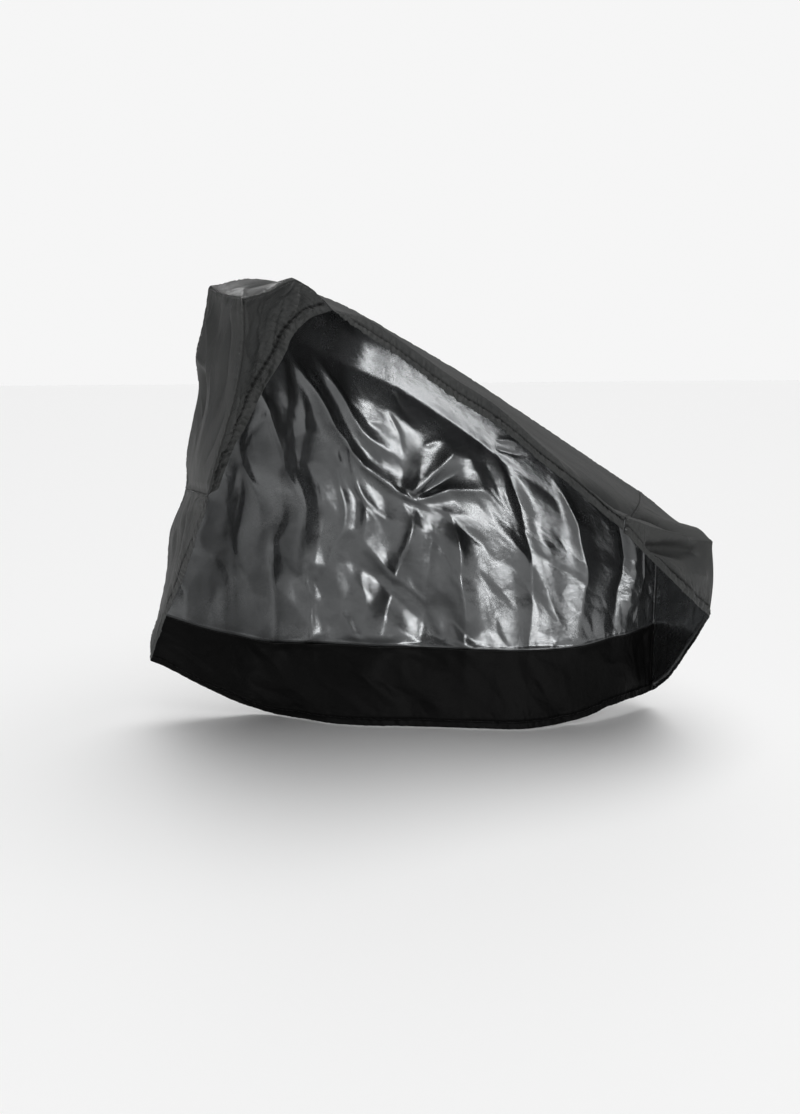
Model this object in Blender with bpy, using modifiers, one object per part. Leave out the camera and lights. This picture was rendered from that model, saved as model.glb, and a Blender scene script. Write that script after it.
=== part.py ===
"""A fitted bicycle cover of thin coated cloth, in the shape in which it hangs.

It is held up under its top at the front and hooked over at its tail. Its near side is hitched up, so the
hem runs from the front, over the top and down to the tail, and its far side hangs to the floor.

x runs from the front to the tail, y from the open near side to the far side, and z up from the floor.
Every panel is a sheet between edge curves: a grid of rows and columns, blended from its four edges, with
its main folds as soft ridges and troughs. Panels that are sewn together share an edge curve.
"""
import bmesh
import bpy
import numpy as np

# Driving dimensions, in metres
CLOTH = 0.0010                   # thickness of a sheet, laid on the outside of its grid
SEAM_GAP = 0.0006                # between the edges of two panels that are sewn together
HOLD = (-0.300, 0.100, 1.310)    # the point under the top that holds the cover up: the part's origin
SEWN_MARGIN = 0.05               # folds die out over this distance from a sewn edge
WELD = 1e-6                      # corners of one sheet that are the same point
ALL_SIDES = ("top", "bottom", "left", "right")

# How many cells each sheet is divided into
ALONG_NEAR_TOP = 8               # along the top, from the front to the apex of the hem
ALONG_HEM = 26                   # along the top, from that apex to the seam before the tail
ALONG_TAIL = 6                   # from that seam to the end of the tail
ACROSS = 10                      # across the front and the top
FRONT_DROP = 12                  # down the front, to its cross seam, and again from there to its hem
SIDE_DROP = 2 * FRONT_DROP       # down the far side
SKIRT_ROW = 19                   # the row of the far side where the skirt is sewn on

# Corners of the panels
CORNERS = {
    # name:           x       y       z
    "near_peak":   (-0.432, -0.200, 1.258),
    "front_peak":  (-0.474, 0.130, 1.300),
    "hem_apex":    (-0.207, -0.030, 1.241),
    "near_foot":   (-0.513, -0.120, 0.832),
    "near_point":  (-0.492, -0.122, 0.845),
    "front_point": (-0.517, -0.108, 0.812),
    "front_knee":  (-0.530, 0.440, 0.778),
    "front_foot":  (-0.640, 0.740, 0.208),
    "seam_hem":    (0.528, -0.082, 0.699),
    "seam_roll":   (0.526, -0.080, 0.727),
    "seam_far":    (0.848, 0.440, 0.724),
    "tail_near":   (0.920, 0.134, 0.616),
    "tail_far":    (0.898, 0.440, 0.688),
    "tail_hook":   (0.900, 0.095, 0.409),
    "tail_foot":   (0.950, 0.500, 0.050),
}

# Edges of the panels: first corner, last corner, and the points between them
EDGES = {
    # name: (first, last, [(at, x, y, z), ...]), where at is the share of the edge's cells
    "front_top": ("near_peak", "front_peak", [
        (0.50, -0.457, -0.035, 1.274)]),
    "near_top": ("near_peak", "hem_apex", [
        (0.35, -0.375, -0.125, 1.274),
        (0.62, -0.298, -0.050, 1.303),
        (0.82, -0.248, -0.032, 1.281)]),
    "front_near": ("near_peak", "near_foot", [
        (0.20, -0.434, -0.200, 1.171),
        (0.47, -0.453, -0.185, 1.058),
        (0.65, -0.475, -0.165, 0.979),
        (0.83, -0.497, -0.140, 0.901)]),
    "near_hem": ("hem_apex", "near_point", [
        (0.14, -0.267, -0.050, 1.221),
        (0.25, -0.310, -0.070, 1.183),
        (0.36, -0.332, -0.085, 1.138),
        (0.50, -0.374, -0.100, 1.076),
        (0.71, -0.426, -0.120, 0.984),
        (0.85, -0.459, -0.125, 0.930)]),
    "front_seam": ("near_foot", "front_knee", [
        (0.50, -0.528, 0.160, 0.808)]),
    "front_far": ("front_peak", "front_foot", [
        (0.08, -0.491, 0.160, 1.212),
        (0.15, -0.507, 0.190, 1.143),
        (0.24, -0.499, 0.240, 1.053),
        (0.41, -0.528, 0.380, 0.871),
        (0.50, -0.530, 0.440, 0.778),
        (0.61, -0.574, 0.540, 0.638),
        (0.70, -0.585, 0.610, 0.513),
        (0.79, -0.611, 0.670, 0.379),
        (0.90, -0.638, 0.710, 0.283)]),
    "front_hem": ("front_point", "front_foot", [
        (0.15, -0.529, 0.000, 0.742),
        (0.38, -0.556, 0.200, 0.599),
        (0.70, -0.594, 0.480, 0.415)]),
    "top_hem": ("hem_apex", "seam_hem", [
        (0.07, -0.157, -0.030, 1.204),
        (0.22, -0.046, -0.030, 1.133),
        (0.42, 0.104, -0.035, 1.028),
        (0.55, 0.201, -0.040, 0.969),
        (0.71, 0.317, -0.055, 0.873),
        (0.87, 0.432, -0.070, 0.783)]),
    "far_ridge": ("front_peak", "seam_far", [
        (0.12, -0.346, 0.280, 1.331),
        (0.26, -0.114, 0.500, 1.296),
        (0.32, -0.027, 0.570, 1.269),
        (0.42, 0.108, 0.560, 1.195),
        (0.55, 0.288, 0.530, 1.091),
        (0.68, 0.457, 0.500, 0.981),
        (0.88, 0.723, 0.460, 0.806)]),
    "tail_seam": ("seam_roll", "seam_far", [
        (0.45, 0.688, 0.150, 0.723)]),
    "tail_roll": ("seam_roll", "tail_near", [
        (0.40, 0.680, 0.000, 0.676),
        (0.74, 0.811, 0.070, 0.643)]),
    "tail_hem": ("seam_hem", "tail_hook", [
        (0.20, 0.595, -0.070, 0.639),
        (0.45, 0.687, -0.040, 0.562),
        (0.72, 0.786, 0.010, 0.485)]),
    "tail_corner": ("tail_near", "tail_hook", [
        (0.50, 0.918, 0.114, 0.509)]),
    "tail_rim": ("tail_near", "tail_far", [
        (0.32, 0.925, 0.227, 0.642),
        (0.54, 0.920, 0.298, 0.641)]),
    "tail_ridge": ("seam_far", "tail_far", []),
    "tail_far_edge": ("tail_far", "tail_foot", [
        (0.40, 0.925, 0.457, 0.490),
        (0.79, 0.939, 0.480, 0.290)]),
    "tail_back_hem": ("tail_hook", "tail_foot", [
        (0.40, 0.930, 0.250, 0.262),
        (0.75, 0.945, 0.390, 0.130)]),
    "far_hem": ("front_foot", "tail_foot", [
        (0.08, -0.450, 0.755, 0.088),
        (0.18, -0.270, 0.737, 0.006),
        (0.22, -0.205, 0.690, 0.003),
        (0.29, -0.076, 0.590, 0.003),
        (0.38, 0.129, 0.516, 0.003),
        (0.48, 0.337, 0.442, 0.003),
        (0.55, 0.440, 0.405, 0.003),
        (0.66, 0.600, 0.400, 0.010),
        (0.82, 0.790, 0.440, 0.042)]),
}


# The grids that make the panels: flat size, which the folds are measured on, and outward direction
GRIDS = {
    # grid:        (along, down, (x, y, z))
    "near_side":   (0.28, 0.43, (0, -1, 0)),
    "front_upper": (0.45, 0.50, (-1, 0, 0)),
    "front_lower": (0.70, 0.45, (-1, 0, 0)),
    "top":         (1.20, 0.55, (0, 0, 1)),
    "tail_roof":   (0.30, 0.45, (0, 0, 1)),
    "tail_flap":   (0.40, 0.20, (0, -1, 0)),
    "tail_back":   (0.40, 0.60, (1, 0, 0)),
    "far_side":    (1.65, 1.25, (0, 1, 0)),
}

# The main folds: soft ridges and troughs, each along a line of places on its panel
FOLDS = {
    # panel: [(width, rise, end rise, [(along, down), ...]), ...]: half its width, and its height at the first
    # and the last place, in metres, and the places in shares of the panel's grid. Below 0 it is a trough on
    # the outside. The skirt's folds are part of the far side's.
    "near_side": [
        (0.026, -0.010, -0.006, [(0.20, 0.16), (0.24, 0.34), (0.32, 0.58)]),
        (0.026, 0.012, 0.006, [(0.38, 0.12), (0.46, 0.30), (0.55, 0.52)]),
        (0.024, 0.014, 0.006, [(0.70, 0.06), (0.79, 0.15), (0.93, 0.26)])],
    "front_upper": [
        (0.035, 0.012, 0.006, [(0.86, 0.08), (0.56, 0.26), (0.50, 0.60), (0.30, 0.88)]),
        (0.030, -0.012, -0.006, [(0.24, 0.08), (0.27, 0.30), (0.29, 0.66)]),
        (0.045, -0.014, -0.010, [(0.80, 0.34), (0.74, 0.72)])],
    "front_lower": [
        (0.035, -0.012, -0.008, [(0.51, 0.16), (0.54, 0.32), (0.64, 0.56)]),
        (0.040, 0.012, 0.010, [(0.30, 0.16), (0.36, 0.46), (0.50, 0.84)]),
        (0.040, 0.010, 0.008, [(0.76, 0.20), (0.80, 0.76)])],
    "top": [
        (0.035, -0.010, -0.018, [(0.82, 0.12), (0.90, 0.17), (0.95, 0.25), (0.985, 0.32)]),
        (0.040, -0.012, -0.008, [(0.07, 0.42), (0.15, 0.62), (0.20, 0.84)]),
        (0.050, -0.010, -0.004, [(0.30, 0.30), (0.44, 0.48)])],
    "tail_roof": [
        (0.035, -0.020, -0.012, [(0.06, 0.34), (0.40, 0.28), (0.67, 0.17), (0.90, 0.08)])],
    "tail_flap": [
        (0.026, -0.010, -0.016, [(0.22, 0.58), (0.49, 0.30), (0.88, 0.16)]),
        (0.020, 0.008, 0.006, [(0.42, 0.66), (0.72, 0.86), (0.90, 0.90)])],
    "tail_back": [
        (0.040, -0.014, -0.010, [(0.28, 0.14), (0.34, 0.90)]),
        (0.040, 0.012, 0.012, [(0.64, 0.12), (0.70, 0.94)])],
    "far_side": [
        (0.034, -0.022, -0.012, [(0.185, 0.19), (0.227, 0.28), (0.30, 0.37), (0.38, 0.43), (0.46, 0.45)]),
        (0.030, -0.016, -0.008, [(0.24, 0.20), (0.27, 0.26), (0.30, 0.30), (0.37, 0.34)]),
        (0.030, -0.018, -0.004, [(0.37, 0.42), (0.39, 0.30)]),
        (0.030, -0.018, -0.004, [(0.39, 0.42), (0.46, 0.22)]),
        (0.030, -0.014, -0.006, [(0.40, 0.43), (0.50, 0.33)]),
        (0.026, -0.014, -0.010, [(0.26, 0.34), (0.285, 0.47)]),
        (0.040, -0.014, -0.012, [(0.165, 0.29), (0.166, 0.45)]),
        (0.030, -0.018, -0.010, [(0.19, 0.62), (0.217, 0.71), (0.25, 0.76)]),
        (0.026, -0.012, -0.008, [(0.28, 0.62), (0.267, 0.71)]),
        (0.030, -0.012, -0.008, [(0.36, 0.60), (0.342, 0.73)]),
        (0.035, -0.014, -0.016, [(0.30, 0.83), (0.34, 0.90), (0.38, 0.99)]),
        (0.045, 0.014, 0.016, [(0.10, 0.34), (0.12, 0.60), (0.15, 0.98)]),
        (0.045, -0.016, -0.020, [(0.45, 0.60), (0.47, 0.80), (0.47, 0.99)]),
        (0.040, 0.018, 0.012, [(0.56, 0.24), (0.60, 0.60), (0.58, 0.99)]),
        (0.050, -0.020, -0.014, [(0.67, 0.20), (0.71, 0.54), (0.69, 0.99)]),
        (0.040, 0.014, 0.012, [(0.80, 0.22), (0.82, 0.60), (0.80, 0.99)])],
}

FINISHES = {
    # panel:       (colour, roughness)
    "near_side":   ((0.030, 0.030, 0.032), 0.55),
    "front_upper": ((0.030, 0.030, 0.032), 0.55),
    "front_lower": ((0.030, 0.030, 0.032), 0.55),
    "top":         ((0.045, 0.043, 0.042), 0.60),
    "tail":        ((0.035, 0.035, 0.036), 0.50),
    "far_side":    ((0.060, 0.062, 0.066), 0.30),
    "far_skirt":   ((0.018, 0.018, 0.019), 0.65),
}


def edge(name, cells):
    """Points of an edge: a smooth curve through its corners and table rows, cells + 1 of them."""
    first, last, rows = EDGES[name]
    knots = np.array([(0.0, *CORNERS[first]), *rows, (1.0, *CORNERS[last])])
    at, points = knots[:, 0], knots[:, 1:]
    slopes = np.gradient(points, at, axis=0)
    share = np.linspace(0.0, 1.0, cells + 1)
    span = np.clip(np.searchsorted(at, share, side="right") - 1, 0, len(at) - 2)
    width = (at[span + 1] - at[span])[:, None]
    t = (share - at[span])[:, None] / width
    return ((2 * t**3 - 3 * t**2 + 1) * points[span] + (t**3 - 2 * t**2 + t) * width * slopes[span]
            + (3 * t**2 - 2 * t**3) * points[span + 1] + (t**3 - t**2) * width * slopes[span + 1])


def straight(first, last, cells):
    """Points of a straight edge between two corners, cells + 1 of them."""
    share = np.linspace(0.0, 1.0, cells + 1)[:, None]
    return np.array(CORNERS[first]) * (1 - share) + np.array(CORNERS[last]) * share


def join(*edges):
    """One edge from several that follow each other, each shared point once."""
    return np.concatenate([edges[0], *(points[1:] for points in edges[1:])])


def blend(top, bottom, left, right):
    """Grid between four edges: the two ruled surfaces between opposite edges, less the flat one they share."""
    u = np.linspace(0.0, 1.0, len(top))[None, :, None]
    v = np.linspace(0.0, 1.0, len(left))[:, None, None]
    down = top[None] * (1 - v) + bottom[None] * v
    along = left[:, None] * (1 - u) + right[:, None] * u
    flat = (top[0] * (1 - u) + top[-1] * u) * (1 - v) + (bottom[0] * (1 - u) + bottom[-1] * u) * v
    return down + along - flat


def unit(vectors):
    """Vectors of length 1 in the same directions; a vector of no length stays as it is."""
    return vectors / np.maximum(np.linalg.norm(vectors, axis=-1, keepdims=True), 1e-12)


def normals(grid, out):
    """Unit normals of a grid, on the side of it that faces out."""
    facing = np.cross(np.gradient(grid, axis=1), np.gradient(grid, axis=0))
    return unit(facing) * np.sign(np.sum(facing * np.array(out)))


def fold_rise(along, down, places, rise, end_rise, width):
    """Height of one fold over a sheet: a bell across it, its top going evenly from rise to end_rise."""
    runs = np.diff(places, axis=0)
    lengths = np.hypot(runs[:, 0], runs[:, 1])
    passed = np.concatenate([[0.0], np.cumsum(lengths)])
    nearest = np.full(along.shape, np.inf)
    share = np.zeros(along.shape)
    for start, run, length, before in zip(places, runs, lengths, passed):
        step = ((along - start[0]) * run[0] + (down - start[1]) * run[1]) / length**2
        step = np.clip(step, 0.0, 1.0)
        reach = np.hypot(along - start[0] - step * run[0], down - start[1] - step * run[1])
        share = np.where(reach < nearest, (before + step * length) / passed[-1], share)
        nearest = np.minimum(nearest, reach)
    return (rise + (end_rise - rise) * share) * np.exp(-(nearest / width)**2)


def folded(grid, name, sewn):
    """The grid with its panel's folds, which die out towards the sides that are sewn."""
    rows, columns = grid.shape[:2]
    flat_along, flat_down, out = GRIDS[name]
    along = np.linspace(0.0, flat_along, columns)[None, :] * np.ones((rows, 1))
    down = np.linspace(0.0, flat_down, rows)[:, None] * np.ones((1, columns))
    height = np.zeros((rows, columns))
    for width, rise, end_rise, places in FOLDS[name]:
        spots = np.array(places) * (flat_along, flat_down)
        height += fold_rise(along, down, spots, rise, end_rise, width)
    for side in sewn:
        inwards = {"left": along, "right": flat_along - along, "top": down, "bottom": flat_down - down}[side]
        near = np.clip(inwards / SEWN_MARGIN, 0.0, 1.0)
        height *= near * near * (3 - 2 * near)
    return grid + height[:, :, None] * normals(grid, out)


def draw_in(grid, sewn):
    """The grid with its sewn sides drawn in, square to each side, by half the seam's gap."""
    drawn = grid.copy()
    sides = {"left": (grid[:, 0], grid[:, 1], drawn[:, 0]), "right": (grid[:, -1], grid[:, -2], drawn[:, -1]),
             "top": (grid[0], grid[1], drawn[0]), "bottom": (grid[-1], grid[-2], drawn[-1])}
    for side in sewn:
        border, inner, target = sides[side]
        run = unit(np.gradient(border, axis=0))
        inwards = inner - border
        inwards -= run * np.sum(inwards * run, axis=1, keepdims=True)
        target += unit(inwards) * SEAM_GAP / 2
    return drawn


def panel_grids():
    """Each panel's name and the grids that make its sheet."""
    near_top = edge("near_top", ALONG_NEAR_TOP)
    front_top = edge("front_top", ACROSS)
    front_near = edge("front_near", FRONT_DROP)
    front_far = edge("front_far", SIDE_DROP)
    front_seam = edge("front_seam", ACROSS)
    far_ridge = edge("far_ridge", ALONG_NEAR_TOP + ALONG_HEM)
    tail_seam = edge("tail_seam", ACROSS - 1)
    tail_roll = edge("tail_roll", ALONG_TAIL)
    tail_ridge = edge("tail_ridge", ALONG_TAIL)
    tail_rim = edge("tail_rim", ACROSS - 1)
    tail_corner = edge("tail_corner", SIDE_DROP)
    tail_far_edge = edge("tail_far_edge", SIDE_DROP)

    near_side = blend(near_top, straight("near_foot", "near_point", ALONG_NEAR_TOP),
                      front_near, edge("near_hem", FRONT_DROP))
    front_upper = blend(front_top, front_seam, front_near, front_far[:FRONT_DROP + 1])
    front_lower = blend(front_seam, edge("front_hem", ACROSS),
                        straight("near_foot", "front_point", FRONT_DROP), front_far[FRONT_DROP:])
    top = blend(join(near_top, edge("top_hem", ALONG_HEM)), far_ridge,
                front_top, join(straight("seam_hem", "seam_roll", 1), tail_seam))
    roof = blend(tail_roll, tail_ridge, tail_seam, tail_rim)
    flap = blend(tail_roll, edge("tail_hem", ALONG_TAIL),
                 straight("seam_roll", "seam_hem", SIDE_DROP), tail_corner)
    back = blend(tail_rim, edge("tail_back_hem", ACROSS - 1), tail_corner, tail_far_edge)
    side = blend(join(far_ridge, tail_ridge), edge("far_hem", ALONG_NEAR_TOP + ALONG_HEM + ALONG_TAIL),
                 front_far, tail_far_edge)
    side = folded(side, "far_side", ("top", "left", "right"))
    near_side = folded(near_side, "near_side", ("top", "left"))
    front_upper = folded(front_upper, "front_upper", ALL_SIDES)
    front_lower = folded(front_lower, "front_lower", ("top", "right"))
    top = folded(top, "top", ALL_SIDES)
    roof = folded(roof, "tail_roof", ALL_SIDES)
    flap = folded(flap, "tail_flap", ("top", "left", "right"))
    back = folded(back, "tail_back", ("top", "left", "right"))
    return {
        "near_side": {"near_side": draw_in(near_side, ("top", "left"))},
        "front_upper": {"front_upper": draw_in(front_upper, ALL_SIDES)},
        "front_lower": {"front_lower": draw_in(front_lower, ("top", "right"))},
        "top": {"top": draw_in(top, ("top", "bottom", "left", "right"))},
        "tail": {"tail_roof": draw_in(roof, ("left", "bottom")),
                 "tail_flap": draw_in(flap, ("left",)),
                 "tail_back": draw_in(back, ("right",))},
        "far_side": {"far_side": draw_in(side[:SKIRT_ROW + 1], ALL_SIDES)},
        "far_skirt": {"far_side": draw_in(side[SKIRT_ROW:], ("top", "left", "right"))},
    }


def material(name):
    """The plain finish of a panel: black coated cloth, glossier where its coated face shows."""
    colour, roughness = FINISHES[name]
    made = bpy.data.materials.new(name)
    made.use_nodes = True
    shader = made.node_tree.nodes["Principled BSDF"]
    shader.inputs["Base Color"].default_value = (*colour, 1.0)
    shader.inputs["Roughness"].default_value = roughness
    shader.inputs["Metallic"].default_value = 0.0
    return made


def sheet(name, grids, collection):
    """One panel: its grids welded into one surface, with the cloth's thickness on the outside."""
    shape = bmesh.new()
    for grid_name, grid in grids.items():
        rows, columns = grid.shape[:2]
        points = [[shape.verts.new(point) for point in row] for row in grid - np.array(HOLD)]
        facing = np.cross(np.gradient(grid, axis=1), np.gradient(grid, axis=0))
        turned = np.sum(facing * np.array(GRIDS[grid_name][2])) < 0
        for r in range(rows - 1):
            for c in range(columns - 1):
                corners = [points[r][c], points[r][c + 1], points[r + 1][c + 1], points[r + 1][c]]
                shape.faces.new(corners[::-1] if turned else corners)
    bmesh.ops.remove_doubles(shape, verts=shape.verts, dist=WELD)
    mesh = bpy.data.meshes.new(name)
    shape.to_mesh(mesh)
    shape.free()
    mesh.shade_smooth()
    mesh.materials.append(material(name))
    panel = bpy.data.objects.new(name, mesh)
    collection.objects.link(panel)
    thickness = panel.modifiers.new("Thickness", "SOLIDIFY")
    thickness.thickness = CLOTH
    thickness.offset = 1.0
    return panel


def main():
    """Builds the cover's panels in a collection of their own."""
    for thing in list(bpy.data.objects):
        bpy.data.objects.remove(thing)
    collection = bpy.data.collections.new("bicycle_cover")
    bpy.context.scene.collection.children.link(collection)
    for name, grids in panel_grids().items():
        sheet(name, grids, collection)


main()
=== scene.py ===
"""Looks of a fitted bicycle cover: fine black coated cloth with its folds, creases, seams and gathered hem.

The cover hangs from a point under its top, which is the origin. Its form is worked out in a floor frame:
x runs from the front to the tail, y from the open near side to the far side, and z up from the floor.
Each panel is a grid between edge curves, blended from its four edges. The grids are welded and their
shared edges rounded. Then each is made finer, pulled out and in at its peaks and valleys, and gets its
folds, creases, wrinkles, hem and seams as heights along its normals. All lengths are in metres.
"""

import bpy
import numpy as np
from mathutils import Matrix, Vector


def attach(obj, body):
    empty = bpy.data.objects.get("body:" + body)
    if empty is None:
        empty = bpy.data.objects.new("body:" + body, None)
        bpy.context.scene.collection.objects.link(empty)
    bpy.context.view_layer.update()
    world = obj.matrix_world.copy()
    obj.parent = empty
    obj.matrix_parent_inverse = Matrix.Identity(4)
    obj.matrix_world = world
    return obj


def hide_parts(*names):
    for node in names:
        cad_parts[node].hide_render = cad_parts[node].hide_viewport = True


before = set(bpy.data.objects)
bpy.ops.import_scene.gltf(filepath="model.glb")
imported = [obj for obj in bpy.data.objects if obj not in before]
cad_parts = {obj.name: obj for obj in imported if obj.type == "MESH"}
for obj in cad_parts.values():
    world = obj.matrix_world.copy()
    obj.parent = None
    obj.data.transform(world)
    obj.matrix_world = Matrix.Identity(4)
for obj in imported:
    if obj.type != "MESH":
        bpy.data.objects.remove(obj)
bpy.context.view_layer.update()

# Sizes of the cover, in metres
HOLD = (-0.300, 0.100, 1.310)    # the origin, as a place above the floor
CLOTH = 0.0006                   # thickness of the cloth, laid on the outside
FINER = 4                        # cells of the form for each cell of the edges' tables
ROUNDINGS = 3                    # times that the form's shared edges are evened out
SEWN_MARGIN = 0.04               # soft folds die out over this distance from a sewn edge
CRUMPLE_MARGIN = 0.030           # large and middle wrinkles over this one
CREASE_MARGIN = 0.006            # and creases over this one
HEM_WIDTH = 0.024                # the turned-up channel with the elastic
SEAM_ROW = 0.0045                # from a seam to its row of stitches
SEAM_ROLL = 0.0030               # how far the seam over the skirt stands out on its inside
SEAM_ROLL_WIDTH = 0.0045
STITCH_PITCH = 0.0060
STITCH_LENGTH = 0.0040
STITCH_RADIUS = 0.0009
THREADS = 1400.0                 # threads of the weave in a metre

# How many cells the edges are divided into
ALONG_NEAR_TOP = 8
ALONG_HEM = 26
ALONG_TAIL = 6
ACROSS = 10
FRONT_DROP = 12
SIDE_DROP = 24
SKIRT_ROW = 19
APEX = ALONG_NEAR_TOP / (ALONG_NEAR_TOP + ALONG_HEM)     # where the top's near edge goes over to a hem
SKIRT = SKIRT_ROW / SIDE_DROP                            # where the skirt is sewn to the far side

# Corners of the panels, in the floor frame
CORNERS = {
    # name:           x       y       z
    "near_peak":   (-0.432, -0.200, 1.258),
    "front_peak":  (-0.474, 0.130, 1.300),
    "hem_apex":    (-0.207, -0.030, 1.241),
    "near_foot":   (-0.513, -0.120, 0.832),
    "near_point":  (-0.492, -0.122, 0.845),
    "front_point": (-0.517, -0.108, 0.812),
    "front_knee":  (-0.530, 0.440, 0.778),
    "front_foot":  (-0.640, 0.740, 0.208),
    "seam_hem":    (0.528, -0.082, 0.699),
    "seam_roll":   (0.526, -0.080, 0.727),
    "seam_far":    (0.848, 0.440, 0.724),
    "tail_near":   (0.920, 0.134, 0.616),
    "tail_far":    (0.898, 0.440, 0.688),
    "tail_hook":   (0.900, 0.095, 0.409),
    "tail_foot":   (0.950, 0.500, 0.050),
}

# Edges of the panels, in the floor frame
EDGES = {
    # name: (first, last, [(at, x, y, z), ...]), where at is the share of the edge's cells
    "front_top": ("near_peak", "front_peak", [
        (0.50, -0.457, -0.035, 1.274)]),
    "near_top": ("near_peak", "hem_apex", [
        (0.35, -0.375, -0.125, 1.274),
        (0.62, -0.298, -0.050, 1.303),
        (0.82, -0.248, -0.032, 1.281)]),
    "front_near": ("near_peak", "near_foot", [
        (0.20, -0.434, -0.200, 1.171),
        (0.47, -0.453, -0.185, 1.058),
        (0.65, -0.475, -0.165, 0.979),
        (0.83, -0.497, -0.140, 0.901)]),
    "near_hem": ("hem_apex", "near_point", [
        (0.14, -0.267, -0.050, 1.221),
        (0.25, -0.310, -0.070, 1.183),
        (0.36, -0.332, -0.085, 1.138),
        (0.50, -0.374, -0.100, 1.076),
        (0.71, -0.426, -0.120, 0.984),
        (0.85, -0.459, -0.125, 0.930)]),
    "front_seam": ("near_foot", "front_knee", [
        (0.50, -0.528, 0.160, 0.808)]),
    "front_far": ("front_peak", "front_foot", [
        (0.08, -0.491, 0.160, 1.212),
        (0.15, -0.507, 0.190, 1.143),
        (0.24, -0.499, 0.240, 1.053),
        (0.41, -0.528, 0.380, 0.871),
        (0.50, -0.530, 0.440, 0.778),
        (0.61, -0.574, 0.540, 0.638),
        (0.70, -0.585, 0.610, 0.513),
        (0.79, -0.611, 0.670, 0.379),
        (0.90, -0.638, 0.710, 0.283)]),
    "front_hem": ("front_point", "front_foot", [
        (0.15, -0.529, 0.000, 0.742),
        (0.38, -0.556, 0.200, 0.599),
        (0.70, -0.594, 0.480, 0.415)]),
    "top_hem": ("hem_apex", "seam_hem", [
        (0.07, -0.157, -0.030, 1.204),
        (0.22, -0.046, -0.030, 1.133),
        (0.42, 0.104, -0.035, 1.028),
        (0.55, 0.201, -0.040, 0.969),
        (0.71, 0.317, -0.055, 0.873),
        (0.87, 0.432, -0.070, 0.783)]),
    "far_ridge": ("front_peak", "seam_far", [
        (0.12, -0.346, 0.280, 1.331),
        (0.26, -0.114, 0.500, 1.296),
        (0.32, -0.027, 0.570, 1.269),
        (0.42, 0.108, 0.560, 1.195),
        (0.55, 0.288, 0.530, 1.091),
        (0.68, 0.457, 0.500, 0.981),
        (0.88, 0.723, 0.460, 0.806)]),
    "tail_seam": ("seam_roll", "seam_far", [
        (0.45, 0.688, 0.150, 0.723)]),
    "tail_roll": ("seam_roll", "tail_near", [
        (0.40, 0.680, 0.000, 0.676),
        (0.74, 0.811, 0.070, 0.643)]),
    "tail_hem": ("seam_hem", "tail_hook", [
        (0.20, 0.595, -0.070, 0.639),
        (0.45, 0.687, -0.040, 0.562),
        (0.72, 0.786, 0.010, 0.485)]),
    "tail_corner": ("tail_near", "tail_hook", [
        (0.50, 0.918, 0.114, 0.509)]),
    "tail_rim": ("tail_near", "tail_far", [
        (0.32, 0.925, 0.227, 0.642),
        (0.54, 0.920, 0.298, 0.641)]),
    "tail_ridge": ("seam_far", "tail_far", []),
    "tail_far_edge": ("tail_far", "tail_foot", [
        (0.40, 0.925, 0.457, 0.490),
        (0.79, 0.939, 0.480, 0.290)]),
    "tail_back_hem": ("tail_hook", "tail_foot", [
        (0.40, 0.930, 0.250, 0.262),
        (0.75, 0.945, 0.390, 0.130)]),
    "far_hem": ("front_foot", "tail_foot", [
        (0.08, -0.450, 0.755, 0.088),
        (0.18, -0.270, 0.737, 0.006),
        (0.22, -0.205, 0.690, 0.003),
        (0.29, -0.076, 0.590, 0.003),
        (0.38, 0.129, 0.516, 0.003),
        (0.48, 0.337, 0.442, 0.003),
        (0.55, 0.440, 0.405, 0.003),
        (0.66, 0.600, 0.400, 0.010),
        (0.82, 0.790, 0.440, 0.042)]),
}

# The grids: size over which their folds and wrinkles are laid, outward direction, cells along and down,
# the sides that are sewn and the one with a hem
GRIDS = {
    # grid:        (along, down, (x, y, z), cells along, cells down, sewn sides, hem side)
    "near_side":   (0.28, 0.43, (0, -1, 0), 160, 190, ("top", "left"), "right"),
    "front_upper": (0.45, 0.50, (-1, 0, 0), 130, 130, ("top", "bottom", "left", "right"), None),
    "front_lower": (0.70, 0.45, (-1, 0, 0), 150, 110, ("top", "right"), "bottom"),
    "top":         (1.20, 0.55, (0, 0, 1), 400, 112, ("top", "bottom", "left", "right"), "top"),
    "tail_roof":   (0.30, 0.45, (0, 0, 1), 104, 110, ("left", "bottom"), None),
    "tail_flap":   (0.40, 0.20, (0, -1, 0), 104, 100, ("left",), "bottom"),
    "tail_back":   (0.40, 0.60, (1, 0, 0), 110, 100, ("right",), "bottom"),
    "far_side":    (1.65, 0.99, (0, 1, 0), 320, 150, ("top", "bottom", "left", "right"), None),
    "far_skirt":   (1.65, 0.26, (0, 1, 0), 320, 60, ("top", "left", "right"), "bottom"),
}

# Sides of the tail's grids that are one cloth with the next grid
WELDED = {"tail_roof": ("top", "right"), "tail_flap": ("top", "right"), "tail_back": ("top", "left")}

# The seam between the far side and the skirt: folds run on across it
SKIRT_SEAM = (("far_side", "bottom"), ("far_skirt", "top"))

# Each piece laid flat, as it is cut
FLAT_SIZES = {
    # piece:       (width, length, area)
    "near_side":   (0.30, 0.45, 0.076),
    "front_upper": (0.45, 0.52, 0.200),
    "front_lower": (0.70, 0.46, 0.170),
    "top":         (0.66, 1.36, 0.720),
    "tail":        (0.70, 0.80, 0.320),
    "far_side":    (1.10, 1.70, 1.330),
    "far_skirt":   (0.30, 1.70, 0.420),
}

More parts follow.
